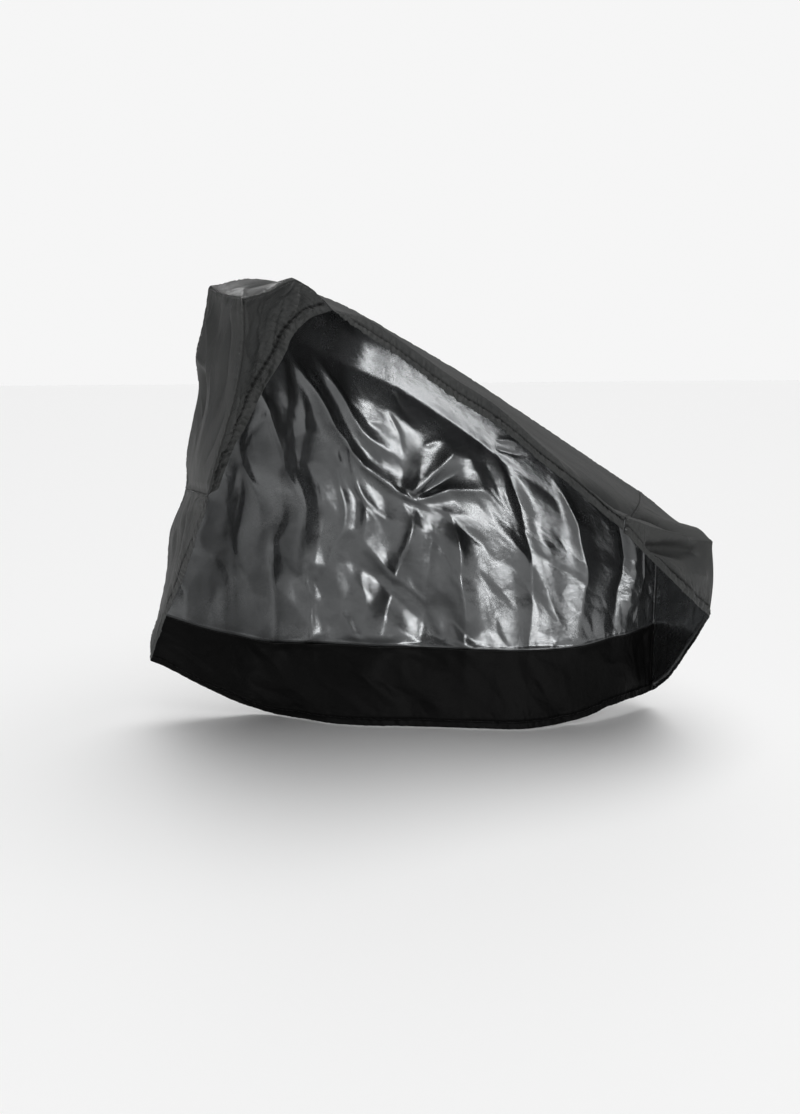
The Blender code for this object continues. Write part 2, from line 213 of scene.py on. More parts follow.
# How much each shared edge is rounded, and over what distance
ROUND_EDGES = {
    # grid: {side: (share, distance)}
    "near_side": {"top": (0.20, 0.015), "left": (0.2, 0.020)},
    "front_upper": {"left": (0.2, 0.020)},
    "top": {"bottom": (0.3, 0.020)},
    "tail_roof": {"top": (0.6, 0.030), "bottom": (0.3, 0.020)},
    "tail_flap": {"top": (0.6, 0.030)},
    "tail_back": {"right": (0.3, 0.020)},
    "far": {"top": (0.3, 0.020), "right": (0.3, 0.020)},
}

# Points and lines at which the cloth is pulled or pushed, whichever panels they are on, in the floor
# frame. Each is (width, (push x, y, z), [(x, y, z), ...])
PULLS = [
    (0.022, (-0.002, -0.012, -0.004), [(-0.432, -0.200, 1.258)]),
    (0.024, (0.000, -0.002, 0.004), [(-0.298, -0.050, 1.303)]),
    (0.022, (-0.002, 0.000, 0.002), [(-0.474, 0.130, 1.300)]),
    (0.024, (-0.002, 0.001, -0.005), [(-0.357, -0.090, 1.270), (-0.340, 0.060, 1.300)]),
    (0.022, (-0.010, 0.008, -0.026), [(0.475, 0.000, 0.800), (0.548, 0.036, 0.770), (0.598, 0.052, 0.742),
                                      (0.668, 0.094, 0.715), (0.745, 0.119, 0.686), (0.805, 0.112, 0.660)]),
    (0.014, (0.002, -0.006, 0.010), [(0.526, -0.080, 0.730), (0.680, 0.000, 0.680), (0.811, 0.070, 0.645)]),
    (0.018, (-0.012, 0.028, -0.010), [(0.640, -0.036, 0.652), (0.720, 0.006, 0.632),
                                      (0.850, 0.090, 0.605)]),
    (0.014, (0.006, 0.000, 0.002), [(0.920, 0.134, 0.616)]),
    (0.012, (0.003, -0.008, 0.002), [(0.650, -0.035, 0.610), (0.760, 0.018, 0.560), (0.870, 0.080, 0.530)]),
]

# Soft folds. Each is (half width, rise, end rise, [(along, down), ...]), with its line of places in
# shares of the panel. A rise above 0 is a ridge on the outside, and one below 0 a trough
FOLDS = {
    "near_side": [
        (0.026, -0.01, -0.006, [(0.2, 0.16), (0.24, 0.34), (0.32, 0.58)]),
        (0.026, 0.012, 0.006, [(0.38, 0.12), (0.46, 0.3), (0.55, 0.52)]),
        (0.024, 0.014, 0.006, [(0.7, 0.06), (0.79, 0.15), (0.93, 0.26)])],
    "front_upper": [
        (0.035, 0.012, 0.006, [(0.86, 0.08), (0.56, 0.26), (0.5, 0.6), (0.3, 0.88)]),
        (0.03, -0.012, -0.006, [(0.24, 0.08), (0.27, 0.3), (0.29, 0.66)]),
        (0.045, -0.014, -0.01, [(0.8, 0.34), (0.74, 0.72)])],
    "front_lower": [
        (0.035, -0.012, -0.008, [(0.51, 0.16), (0.54, 0.32), (0.64, 0.56)]),
        (0.04, 0.012, 0.01, [(0.3, 0.16), (0.36, 0.46), (0.5, 0.84)]),
        (0.04, 0.01, 0.008, [(0.76, 0.2), (0.8, 0.76)])],
    "top": [
        (0.035, -0.01, -0.018, [(0.82, 0.12), (0.9, 0.17), (0.95, 0.25), (0.985, 0.32)]),
        (0.04, -0.012, -0.008, [(0.07, 0.42), (0.15, 0.62), (0.2, 0.84)]),
        (0.05, -0.01, -0.004, [(0.3, 0.3), (0.44, 0.48)])],
    "tail_roof": [
        (0.035, -0.02, -0.012, [(0.06, 0.34), (0.4, 0.28), (0.67, 0.17), (0.9, 0.08)])],
    "tail_flap": [
        (0.026, -0.01, -0.016, [(0.22, 0.58), (0.49, 0.3), (0.88, 0.16)]),
        (0.02, 0.008, 0.006, [(0.42, 0.66), (0.72, 0.86), (0.9, 0.9)])],
    "tail_back": [
        (0.04, -0.014, -0.01, [(0.28, 0.14), (0.34, 0.9)]),
        (0.04, 0.012, 0.012, [(0.64, 0.12), (0.7, 0.94)])],
    # places on the far side are shares of its whole grid, the skirt included
    "far": [
        (0.024, -0.014, -0.008, [(0.17, 0.12), (0.185, 0.19), (0.227, 0.28), (0.3, 0.37), (0.38, 0.43),
            (0.5, 0.46)]),
        (0.022, -0.01, -0.006, [(0.21, 0.12), (0.24, 0.2), (0.27, 0.26), (0.3, 0.3), (0.4, 0.35)]),
        (0.022, -0.012, -0.006, [(0.36, 0.44), (0.39, 0.3), (0.4, 0.22)]),
        (0.022, -0.014, -0.006, [(0.36, 0.44), (0.42, 0.31), (0.48, 0.18)]),
        (0.022, -0.01, -0.006, [(0.37, 0.44), (0.44, 0.37), (0.54, 0.3)]),
        (0.03, -0.0084, -0.0108, [(0.16, 0.12), (0.15, 0.28), (0.15, 0.45), (0.172, 0.62), (0.2, 0.84)]),
        (0.026, -0.0072, -0.0108, [(0.175, 0.16), (0.19, 0.34), (0.205, 0.5), (0.225, 0.7), (0.26, 0.9)]),
        (0.026, -0.0072, -0.0096, [(0.2, 0.2), (0.25, 0.34), (0.272, 0.48), (0.279, 0.62), (0.268, 0.84)]),
        (0.026, -0.0072, -0.0096, [(0.23, 0.24), (0.272, 0.34), (0.303, 0.47), (0.318, 0.64),
            (0.345, 0.99)]),
        (0.03, -0.012, -0.016, [(0.378, 0.44), (0.372, 0.56), (0.356, 0.7), (0.34, 0.92)]),
        (0.04, 0.014, 0.018, [(0.13, 0.16), (0.1, 0.36), (0.1, 0.6), (0.13, 0.98)]),
        (0.04, -0.014, -0.02, [(0.43, 0.42), (0.455, 0.6), (0.47, 0.8), (0.47, 0.99)]),
        (0.04, 0.012, 0.011, [(0.53, 0.16), (0.58, 0.36), (0.6, 0.62), (0.58, 0.99)]),
        (0.045, -0.013, -0.012, [(0.64, 0.14), (0.69, 0.34), (0.71, 0.58), (0.69, 0.99)]),
        (0.04, 0.014, 0.014, [(0.78, 0.12), (0.82, 0.4), (0.81, 0.66), (0.8, 0.99)])],
}

# Sharp creases: the cloth falls away from the line, over one width on its left and another on its right,
# seen with along to the right and down downwards. Each is (left, right, rise, end rise, [(along, down),
# ...])
CREASES = {
    "near_side": [
        (0.026, 0.01, -0.0165, -0.0085, [(0.04, 0.02), (0.09, 0.2), (0.13, 0.42), (0.18, 0.7)]),
        (0.008, 0.022, 0.0101, 0.0041, [(0.05, 0.03), (0.18, 0.22), (0.4, 0.4), (0.58, 0.51),
            (0.79, 0.65)]),
        (0.02, 0.009, 0.0128, 0.0054, [(0.635, 0.02), (0.76, 0.09), (0.9, 0.22), (0.97, 0.34)]),
        (0.01, 0.016, 0.0088, 0.0034, [(0.635, 0.1), (0.74, 0.285), (0.79, 0.417), (0.9, 0.51)]),
        (0.009, 0.018, -0.0088, -0.0034, [(0.34, 0.04), (0.55, 0.32), (0.72, 0.5), (0.84, 0.66)]),
        (0.008, 0.012, -0.0074, -0.0027, [(0.01, 0.02), (0.12, 0.05), (0.28, 0.05)]),
        (0.01, 0.01, 0.0068, 0.0027, [(0.62, 0.01), (0.63, 0.07), (0.6, 0.16)]),
        (0.016, 0.009, 0.0068, 0.0034, [(0.34, 0.5), (0.45, 0.69), (0.44, 0.84)]),
        (0.01, 0.014, -0.0061, -0.0027, [(0.22, 0.56), (0.3, 0.74), (0.3, 0.92)])],
    "front_upper": [
        (0.018, 0.01, 0.008, 0.004, [(0.98, 0.03), (0.867, 0.08), (0.6, 0.24), (0.52, 0.44), (0.49, 0.62)]),
        (0.01, 0.02, -0.007, -0.003, [(0.26, 0.04), (0.275, 0.26), (0.292, 0.486), (0.267, 0.68)]),
        (0.009, 0.016, 0.006, 0.0025, [(0.42, 0.12), (0.47, 0.41), (0.4, 0.72)]),
        (0.012, 0.012, 0.006, 0.002, [(0.95, 0.3), (0.8, 0.345), (0.66, 0.37)]),
        (0.01, 0.01, 0.0045, 0.002, [(0.88, 0.5), (0.7, 0.66), (0.64, 0.86)]),
        (0.012, 0.012, -0.005, -0.002, [(0.1, 0.5), (0.16, 0.74), (0.26, 0.92)]),
        (0.01, 0.01, 0.004, 0.001, [(0.8, 0.04), (0.76, 0.16), (0.78, 0.28)])],
    "front_lower": [
        (0.012, 0.02, -0.0035, -0.0015, [(0.5, 0.02), (0.53, 0.28), (0.64, 0.54)]),
        (0.018, 0.01, 0.0035, 0.0015, [(0.18, 0.04), (0.28, 0.3), (0.38, 0.62)]),
        (0.012, 0.012, 0.0025, 0.001, [(0.66, 0.06), (0.68, 0.4), (0.78, 0.72)]),
        (0.014, 0.014, 0.0025, 0.001, [(0.86, 0.1), (0.84, 0.5)])],
    "top": [
        (0.03, 0.014, 0.005, 0.002, [(0.145, 0.02), (0.15, 0.14), (0.13, 0.3)]),
        (0.016, 0.016, -0.004, -0.0015, [(0.02, 0.04), (0.09, 0.12), (0.13, 0.1)]),
        (0.014, 0.026, 0.004, 0.002, [(0.02, 0.06), (0.05, 0.36), (0.1, 0.74)]),
        (0.02, 0.012, -0.0035, -0.0015, [(0.82, 0.1), (0.9, 0.15), (0.95, 0.24), (0.99, 0.31)]),
        (0.03, 0.02, 0.002, 0.002, [(0.36, 0.12), (0.56, 0.2), (0.76, 0.14)])],
    "tail_roof": [
        (0.022, 0.012, -0.005, -0.003, [(0.02, 0.32), (0.4, 0.26), (0.7, 0.14), (0.95, 0.04)]),
        (0.014, 0.022, 0.003, 0.001, [(0.05, 0.55), (0.45, 0.52), (0.85, 0.7)])],
    "tail_flap": [
        (0.012, 0.02, -0.004, -0.004, [(0.16, 0.66), (0.49, 0.26), (0.94, 0.1)]),
        (0.008, 0.016, -0.003, -0.0025, [(0.52, 0.84), (0.72, 0.9), (0.93, 0.93)]),
        (0.012, 0.012, 0.002, 0.0005, [(0.4, 0.66), (0.56, 0.6)])],
    "tail_back": [
        (0.016, 0.016, 0.0035, 0.0015, [(0.3, 0.05), (0.36, 0.4), (0.34, 0.92)]),
        (0.014, 0.02, -0.0035, -0.0015, [(0.62, 0.06), (0.7, 0.5), (0.66, 0.95)]),
        (0.012, 0.012, 0.003, 0.001, [(0.05, 0.1), (0.3, 0.34), (0.6, 0.44)])],
    "far": [
        (0.022, 0.009, -0.011, -0.008, [(0.16, 0.12), (0.185, 0.19), (0.227, 0.278), (0.3, 0.368),
            (0.377, 0.427), (0.5, 0.455)]),
        (0.02, 0.009, -0.008, -0.004, [(0.215, 0.13), (0.242, 0.2), (0.267, 0.253), (0.292, 0.292),
            (0.4, 0.348)]),
        (0.014, 0.008, -0.006, -0.004, [(0.185, 0.14), (0.215, 0.21), (0.25, 0.28), (0.285, 0.325)]),
        (0.008, 0.014, 0.005, 0.003, [(0.262, 0.215), (0.285, 0.25), (0.325, 0.282)]),
        (0.01, 0.008, -0.004, -0.002, [(0.265, 0.23), (0.295, 0.262), (0.335, 0.245)]),
        (0.008, 0.01, 0.005, 0.003, [(0.332, 0.205), (0.35, 0.262), (0.362, 0.345)]),
        (0.01, 0.012, 0.003, 0.002, [(0.346, 0.14), (0.358, 0.18), (0.378, 0.23)]),
        (0.008, 0.018, -0.012, -0.005, [(0.374, 0.436), (0.386, 0.36), (0.396, 0.27)]),
        (0.018, 0.008, -0.013, -0.006, [(0.372, 0.436), (0.42, 0.31), (0.468, 0.19)]),
        (0.012, 0.008, -0.01, -0.004, [(0.372, 0.436), (0.435, 0.365), (0.53, 0.32)]),
        (0.008, 0.01, 0.009, 0.004, [(0.386, 0.426), (0.362, 0.4), (0.33, 0.4)]),
        (0.008, 0.01, 0.008, 0.004, [(0.388, 0.424), (0.408, 0.36), (0.416, 0.28)]),
        (0.008, 0.01, 0.008, 0.004, [(0.39, 0.42), (0.432, 0.335), (0.474, 0.262)]),
        (0.01, 0.008, -0.006, -0.003, [(0.462, 0.275), (0.482, 0.236), (0.502, 0.18)]),
        (0.008, 0.008, -0.005, -0.003, [(0.388, 0.276), (0.412, 0.244), (0.44, 0.215)]),
        (0.009, 0.02, -0.005, -0.0039, [(0.205, 0.2), (0.248, 0.344), (0.269, 0.476), (0.279, 0.622),
            (0.262, 0.8)]),
        (0.018, 0.009, -0.0044, -0.0044, [(0.23, 0.23), (0.271, 0.337), (0.302, 0.465), (0.312, 0.62),
            (0.33, 0.82)]),
        (0.01, 0.022, -0.0055, -0.0044, [(0.163, 0.13), (0.154, 0.281), (0.148, 0.448), (0.168, 0.62),
            (0.195, 0.86)]),
        (0.02, 0.009, -0.005, -0.0044, [(0.176, 0.16), (0.183, 0.337), (0.19, 0.46), (0.217, 0.7),
            (0.262, 0.9)]),
        (0.018, 0.01, -0.008, -0.006, [(0.14, 0.18), (0.112, 0.302), (0.09, 0.4), (0.092, 0.56),
            (0.115, 0.86)]),
        (0.012, 0.009, 0.006, 0.004, [(0.11, 0.32), (0.075, 0.48), (0.05, 0.56)]),
        (0.034, 0.016, -0.026, -0.02, [(0.1, 0.19), (0.122, 0.29), (0.15, 0.38), (0.196, 0.5),
            (0.23, 0.62)]),
        (0.03, 0.014, -0.022, -0.016, [(0.06, 0.26), (0.085, 0.38), (0.12, 0.5), (0.15, 0.64)]),
        (0.022, 0.012, -0.018, -0.012, [(0.15, 0.54), (0.165, 0.66), (0.18, 0.76), (0.184, 0.9)]),
        (0.02, 0.012, -0.016, -0.01, [(0.215, 0.6), (0.236, 0.7), (0.25, 0.8), (0.252, 0.94)]),
        (0.009, 0.014, -0.008, -0.006, [(0.376, 0.45), (0.372, 0.56), (0.352, 0.7), (0.335, 0.92)]),
        (0.014, 0.009, 0.007, 0.006, [(0.4, 0.46), (0.41, 0.6), (0.4, 0.78), (0.41, 0.96)]),
        (0.009, 0.012, 0.005, 0.004, [(0.225, 0.4), (0.238, 0.56), (0.24, 0.72)]),
        (0.01, 0.01, -0.005, -0.004, [(0.225, 0.8), (0.25, 0.775), (0.29, 0.76)]),
        (0.012, 0.012, -0.007, -0.007, [(0.29, 0.812), (0.34, 0.896), (0.38, 0.98)]),
        (0.012, 0.012, -0.006, -0.005, [(0.344, 0.88), (0.377, 0.965)]),
        (0.01, 0.01, -0.005, -0.003, [(0.53, 0.15), (0.56, 0.122), (0.6, 0.104)]),
        (0.008, 0.01, 0.005, 0.003, [(0.525, 0.18), (0.57, 0.16), (0.61, 0.125)]),
        (0.018, 0.012, -0.009, -0.008, [(0.425, 0.4), (0.455, 0.56), (0.466, 0.76), (0.466, 0.98)]),
        (0.02, 0.012, 0.0066, 0.005, [(0.52, 0.16), (0.57, 0.34), (0.6, 0.62), (0.58, 0.97)]),
        (0.014, 0.02, -0.0066, -0.005, [(0.63, 0.14), (0.685, 0.32), (0.71, 0.56), (0.69, 0.97)]),
        (0.014, 0.014, 0.0048, 0.0042, [(0.77, 0.1), (0.82, 0.4), (0.81, 0.66), (0.8, 0.97)]),
        (0.014, 0.014, -0.007, -0.005, [(0.88, 0.1), (0.91, 0.5), (0.88, 0.9)])],
}

# Flat slopes: the cloth goes evenly out to a line and back again, over one width on its left and another
# on its right. Each is (left, right, rise, end rise, [(along, down), ...])
SLOPES = {
    "far": [
        (0.11, 0.11, 0.009, 0.029, [(0.02, 0.06), (0.2, 0.112), (0.273, 0.132), (0.36, 0.132),
            (0.427, 0.153), (0.496, 0.184), (0.6, 0.235), (0.8, 0.32)])],
}

# Wrinkles of each panel: heights of its large, middle and small ones, their direction in degrees from
# along to down, how much longer than wide they are, and how wide against the distances below
WRINKLES = {
    # grid:        (large, middle, small, direction, longer, wide)
    "near_side":   (0.0180, 0.0062, 0.0004, 66, 2.0, 1.0),
    "front_upper": (0.0200, 0.0030, 0.0002, 78, 1.8, 1.7),
    "front_lower": (0.0200, 0.0036, 0.0003, 70, 1.8, 1.7),
    "top":         (0.0040, 0.0012, 0.0002, 8, 2.6, 1.0),
    "tail_roof":   (0.0050, 0.0018, 0.0003, -14, 2.4, 1.0),
    "tail_flap":   (0.0050, 0.0020, 0.0003, -30, 2.4, 1.0),
    "tail_back":   (0.0080, 0.0030, 0.0003, 80, 2.6, 1.0),
    "far_side":    (0.0200, 0.0060, 0.0004, 62, 2.3, 1.0),
    "far_skirt":   (0.0150, 0.0070, 0.0004, 50, 1.8, 1.2),
}
LARGE, MIDDLE, SMALL = 0.085, 0.034, 0.013       # distance between wrinkles, in metres

# Where the far side is smoother, or below 0 more crumpled: (along, down, width along, width down, share)
CALM = [
    (0.30, 0.10, 0.20, 0.10, 0.90),
    (0.50, 0.16, 0.18, 0.10, 0.80),
    (0.30, 0.24, 0.10, 0.12, 0.70),
    (0.40, 0.35, 0.07, 0.09, 0.60),
    (0.68, 0.36, 0.17, 0.30, 0.65),
    (0.14, 0.64, 0.15, 0.22, -0.90),
    (0.40, 0.68, 0.14, 0.16, -0.50),
    (0.80, 0.50, 0.22, 0.45, 0.60),
]

# Gathering along each hem: height of the gathers, how far they reach in from the channel, their pitch,
# and how full the channel is
HEMS = {
    # grid:        (height, reach, pitch, full)
    "near_side":   (0.0120, 0.044, 0.014, 0.0014),
    "front_lower": (0.0050, 0.030, 0.016, 0.0024),
    "top":         (0.0070, 0.022, 0.012, 0.0040),
    "tail_flap":   (0.0064, 0.024, 0.012, 0.0044),
    "tail_back":   (0.0050, 0.030, 0.015, 0.0026),
    "far_skirt":   (0.0050, 0.028, 0.016, 0.0026),
}

DROOP = 0.034            # how far the top's near edge hangs down beyond the start of its hem

# Rows of stitches: (side, distance from it) for each grid. Along the top's near edge they follow the hem
STITCHES = {
    "near_side":   [("top", SEAM_ROW), ("left", SEAM_ROW), ("right", HEM_WIDTH)],
    "front_upper": [("top", SEAM_ROW), ("bottom", SEAM_ROW), ("right", SEAM_ROW)],
    "front_lower": [("top", SEAM_ROW), ("right", SEAM_ROW), ("bottom", HEM_WIDTH)],
    "top":         [("top", HEM_WIDTH), ("right", SEAM_ROW), ("bottom", SEAM_ROW)],
    "tail_roof":   [("left", SEAM_ROW), ("bottom", SEAM_ROW)],
    "tail_flap":   [("left", SEAM_ROW), ("bottom", HEM_WIDTH)],
    "tail_back":   [("right", SEAM_ROW), ("bottom", HEM_WIDTH)],
    "far_side":    [("top", SEAM_ROW), ("bottom", SEAM_ROW), ("left", SEAM_ROW)],
    "far_skirt":   [("top", SEAM_ROW), ("bottom", HEM_WIDTH)],
}

LATTICE = 128            # the noise below repeats after this many steps

# The room
ROOM_LOOK = 0.92         # how bright it looks
ROOM_BEHIND = 0.50       # its light from behind the cover
ROOM_ELSEWHERE = 0.18    # and from before it
ROOM_LEFT = 0.45         # how much of either is left at the far left


def edge(name, cells):
    """Points of an edge: a smooth curve through its corners and table rows, cells + 1 of them."""
    first, last, rows = EDGES[name]
    knots = np.array([(0.0, *CORNERS[first]), *rows, (1.0, *CORNERS[last])])
    at, points = knots[:, 0], knots[:, 1:]
    slopes = np.gradient(points, at, axis=0)
    share = np.linspace(0.0, 1.0, cells + 1)
    span = np.clip(np.searchsorted(at, share, side="right") - 1, 0, len(at) - 2)
    width = (at[span + 1] - at[span])[:, None]
    t = (share - at[span])[:, None] / width
    return ((2 * t**3 - 3 * t**2 + 1) * points[span] + (t**3 - 2 * t**2 + t) * width * slopes[span]
            + (3 * t**2 - 2 * t**3) * points[span + 1] + (t**3 - t**2) * width * slopes[span + 1])


def straight(first, last, cells):
    """Points of a straight edge between two corners, cells + 1 of them."""
    share = np.linspace(0.0, 1.0, cells + 1)[:, None]
    return np.array(CORNERS[first]) * (1 - share) + np.array(CORNERS[last]) * share


def join(*edges):
    """One edge from several that follow each other, each shared point once."""
    return np.concatenate([edges[0], *(points[1:] for points in edges[1:])])


def blend(top, bottom, left, right):
    """Grid between four edges: the ruled surfaces between both pairs, less the flat one they share."""
    u = np.linspace(0.0, 1.0, len(top))[None, :, None]
    v = np.linspace(0.0, 1.0, len(left))[:, None, None]
    down = top[None] * (1 - v) + bottom[None] * v
    along = left[:, None] * (1 - u) + right[:, None] * u
    flat = (top[0] * (1 - u) + top[-1] * u) * (1 - v) + (bottom[0] * (1 - u) + bottom[-1] * u) * v
    return down + along - flat


def unit(vectors):
    """Vectors of length 1 in the same directions; a vector of no length stays as it is."""
    return vectors / np.maximum(np.linalg.norm(vectors, axis=-1, keepdims=True), 1e-12)


def crossed(grid):
    """Vectors that stand across a grid at its points, all on one side of it."""
    return np.cross(np.gradient(grid, axis=1), np.gradient(grid, axis=0))


def normals(grid, out):
    """Unit normals of a grid, on the side of it that faces out."""
    across = crossed(grid)
    return unit(across) * np.sign(np.sum(across * np.array(out)))


def welded(points):
    """The number of the first point at each place, to a hundredth of a millimetre, and for every point
    the number of its place."""
    _, first, shared = np.unique(np.round(points, 5), axis=0, return_index=True, return_inverse=True)
    return first, shared.ravel()


def ease(t):
    """From 0 to 1 as t does, flat at both ends: 3 t squared less 2 t cubed."""
    t = np.clip(t, 0.0, 1.0)
    return t * t * (3 - 2 * t)


def noise(x, y, seed):
    """Smooth noise of about -1 to 1: random slopes at every whole x and y, blended between the nearest
    four of them."""
    reach = 1.5
    angle = np.random.default_rng(seed).uniform(0.0, 2 * np.pi, (LATTICE, LATTICE))
    i, j = np.floor(x).astype(int), np.floor(y).astype(int)
    total = np.zeros(np.broadcast(x, y).shape)
    for right in (0, 1):
        for below in (0, 1):
            turn = angle[(i + right) % LATTICE, (j + below) % LATTICE]
            dx, dy = x - i - right, y - j - below
            weight = (1 - ease(np.abs(dx))) * (1 - ease(np.abs(dy)))
            total += weight * (dx * np.cos(turn) + dy * np.sin(turn))
    return total * reach


def bent(x, y, amount, often, seed):
    """The places x and y, each moved by up to about an amount by smooth noise. often says how fine the
    noise is: its steps to a whole x or y."""
    return (x + amount * noise(often * x, often * y, seed + 1),
            y + amount * noise(often * x + 9.0, often * y, seed + 2))


def ridges(x, y, seed):
    """Crumpled noise of up to 1, with sharp ridges where bent smooth noise passes 0."""
    return 1 - np.abs(noise(*bent(x, y, 0.6, 0.7, seed), seed)) * 2


def facets(x, y, seed):
    """Crumpled noise from 0 to 1 that is flat between sharp ridges: random heights at the corners of a
    bent lattice of equal triangles, and a flat face between each three."""
    heights = np.random.default_rng(seed).uniform(0.0, 1.0, (LATTICE, LATTICE))
    row_height = 0.866
    bend_x, bend_y = bent(x, y, 0.9, 0.6, seed)
    bend_y = bend_y / row_height
    bend_x = bend_x - 0.5 * bend_y
    i, j = np.floor(bend_x).astype(int), np.floor(bend_y).astype(int)
    t, w = bend_x - i, bend_y - j
    near, right = heights[i % LATTICE, j % LATTICE], heights[(i + 1) % LATTICE, j % LATTICE]
    below, across = heights[i % LATTICE, (j + 1) % LATTICE], heights[(i + 1) % LATTICE, (j + 1) % LATTICE]
    return np.where(t + w < 1, near + t * (right - near) + w * (below - near),
                    across + (1 - t) * (below - across) + (1 - w) * (right - across))


def line_height(along, down, places, rise, end_rise, shape):
    """Height of one fold or crease: its top goes evenly from rise to end_rise along its places and dies
    out at both ends, and shape says how much of it is left at a distance, on its left below 0 and on its
    right above. It is narrow at its first place, where the cloth is pulled, and spreads from there."""
    start_share, end_share = 0.22, 0.50         # it grows over the first, and dies out over the last
    narrow, spread = 0.45, 1.10                 # its width at its first place, and how much that grows
    runs = np.diff(places, axis=0)
    lengths = np.hypot(runs[:, 0], runs[:, 1])
    passed = np.concatenate([[0.0], np.cumsum(lengths)])
    nearest = np.full(along.shape, np.inf)
    share = np.zeros(along.shape)
    side = np.ones(along.shape)
    for start, run, length, before in zip(places, runs, lengths, passed):
        step = np.clip(((along - start[0]) * run[0] + (down - start[1]) * run[1]) / length**2, 0.0, 1.0)
        off_along, off_down = along - start[0] - step * run[0], down - start[1] - step * run[1]
        reach = np.hypot(off_along, off_down)
        closer = reach < nearest
        share = np.where(closer, (before + step * length) / passed[-1], share)
        side = np.where(closer, np.sign(run[0] * off_down - run[1] * off_along), side)
        nearest = np.minimum(nearest, reach)
    ends = ease(share / start_share) * ease((1 - share) / end_share)
    return (rise + (end_rise - rise) * share) * ends * shape(nearest * side / (narrow + spread * share))


def bell(width):
    """The cross-section of a soft fold: a bell that is down to a third at width."""
    return lambda off: np.exp(-(off / width)**2)


def crisp(left, right):
    """The cross-section of a crease: it falls off from a narrow top, over one width on each side."""
    top = 0.0020

    def shape(off):
        width = np.where(off < 0, left, right)
        return np.exp(-(np.sqrt(off**2 + top**2) - top) / width)
    return shape


def tent(left, right):
    """The cross-section of a slope: it falls off evenly from its line, over one width on each side, with
    its top and feet rounded."""
    top, foot = 0.0060, 0.01

    def shape(off):
        width = np.where(off < 0, left, right)
        away = 1 - (np.sqrt(off**2 + top**2) - top) / width
        return 0.5 * (away + np.sqrt(away**2 + foot)) - foot / 4
    return shape


def finer_near_end(t, at_end):
    """Shares from 0 to 1 whose steps are a third of even ones at one end, and grow steadily to the
    other."""
    t = 1 - t if at_end else t
    t = t * (1 + 2 * t) / 3
    return 1 - t if at_end else t


def resample(grid, rows, columns):
    """The grid at other rows and columns, which may lie between its own: a smooth curve through four
    points each way."""
    def along_first(points, at):
        last = len(points) - 1
        i = np.clip(np.floor(at).astype(int), 0, last - 1)
        t = (at - i)[:, None, None]
        here, there = points[i], points[i + 1]
        before = np.where((i > 0)[:, None, None], points[np.maximum(i - 1, 0)], 2 * here - there)
        after = np.where((i + 1 < last)[:, None, None], points[np.minimum(i + 2, last)], 2 * there - here)
        return here + 0.5 * t * (there - before + t * (2 * before - 5 * here + 4 * there - after
                                                       + t * (3 * (here - there) + after - before)))
    finer = along_first(grid, rows)
    return along_first(finer.transpose(1, 0, 2), columns).transpose(1, 0, 2)


def form_grids():
    """The smooth form: every grid between its edges, before folds. The far side's holds the skirt too."""
    near_top = edge("near_top", ALONG_NEAR_TOP * FINER)
    front_top = edge("front_top", ACROSS * FINER)
    front_near = edge("front_near", FRONT_DROP * FINER)
    front_far = edge("front_far", SIDE_DROP * FINER)
    front_seam = edge("front_seam", ACROSS * FINER)
    far_ridge = edge("far_ridge", (ALONG_NEAR_TOP + ALONG_HEM) * FINER)
    tail_seam = edge("tail_seam", (ACROSS - 1) * FINER)
    tail_roll = edge("tail_roll", ALONG_TAIL * FINER)
    tail_ridge = edge("tail_ridge", ALONG_TAIL * FINER)
    tail_rim = edge("tail_rim", (ACROSS - 1) * FINER)
    tail_corner = edge("tail_corner", SIDE_DROP * FINER)
    tail_far_edge = edge("tail_far_edge", SIDE_DROP * FINER)
    knee = FRONT_DROP * FINER
    all_along = (ALONG_NEAR_TOP + ALONG_HEM + ALONG_TAIL) * FINER
    return {
        "near_side": blend(near_top, straight("near_foot", "near_point", ALONG_NEAR_TOP * FINER),
                           front_near, edge("near_hem", knee)),
        "front_upper": blend(front_top, front_seam, front_near, front_far[:knee + 1]),
        "front_lower": blend(front_seam, edge("front_hem", ACROSS * FINER),
                             straight("near_foot", "front_point", knee), front_far[knee:]),
        "top": blend(join(near_top, edge("top_hem", ALONG_HEM * FINER)), far_ridge,
                     front_top, join(straight("seam_hem", "seam_roll", FINER), tail_seam)),
        "tail_roof": blend(tail_roll, tail_ridge, tail_seam, tail_rim),
        "tail_flap": blend(tail_roll, edge("tail_hem", ALONG_TAIL * FINER),
                           straight("seam_roll", "seam_hem", SIDE_DROP * FINER), tail_corner),
        "tail_back": blend(tail_rim, edge("tail_back_hem", (ACROSS - 1) * FINER),
                           tail_corner, tail_far_edge),
        "far": blend(join(far_ridge, tail_ridge), edge("far_hem", all_along), front_far, tail_far_edge),
    }


def pulled(grid):
    """The grid with every pull of the table: the push is full at its points or line, and dies away with
    the distance over its width."""
    tip = 0.004                                 # the pulls' points are rounded by this
    made = grid
    for width, push, places in PULLS:
        places = np.array(places if len(places) > 1 else places * 2)
        nearest = np.full(grid.shape[:2], np.inf)
        for start, run in zip(places, np.diff(places, axis=0)):
            step = np.clip((grid - start) @ run / max(run @ run, 1e-12), 0.0, 1.0)
            nearest = np.minimum(nearest, np.linalg.norm(grid - start - step[:, :, None] * run, axis=2))
        made = made + np.exp(-(np.sqrt(nearest**2 + tip**2) - tip) / width)[:, :, None] * np.array(push)
    return made


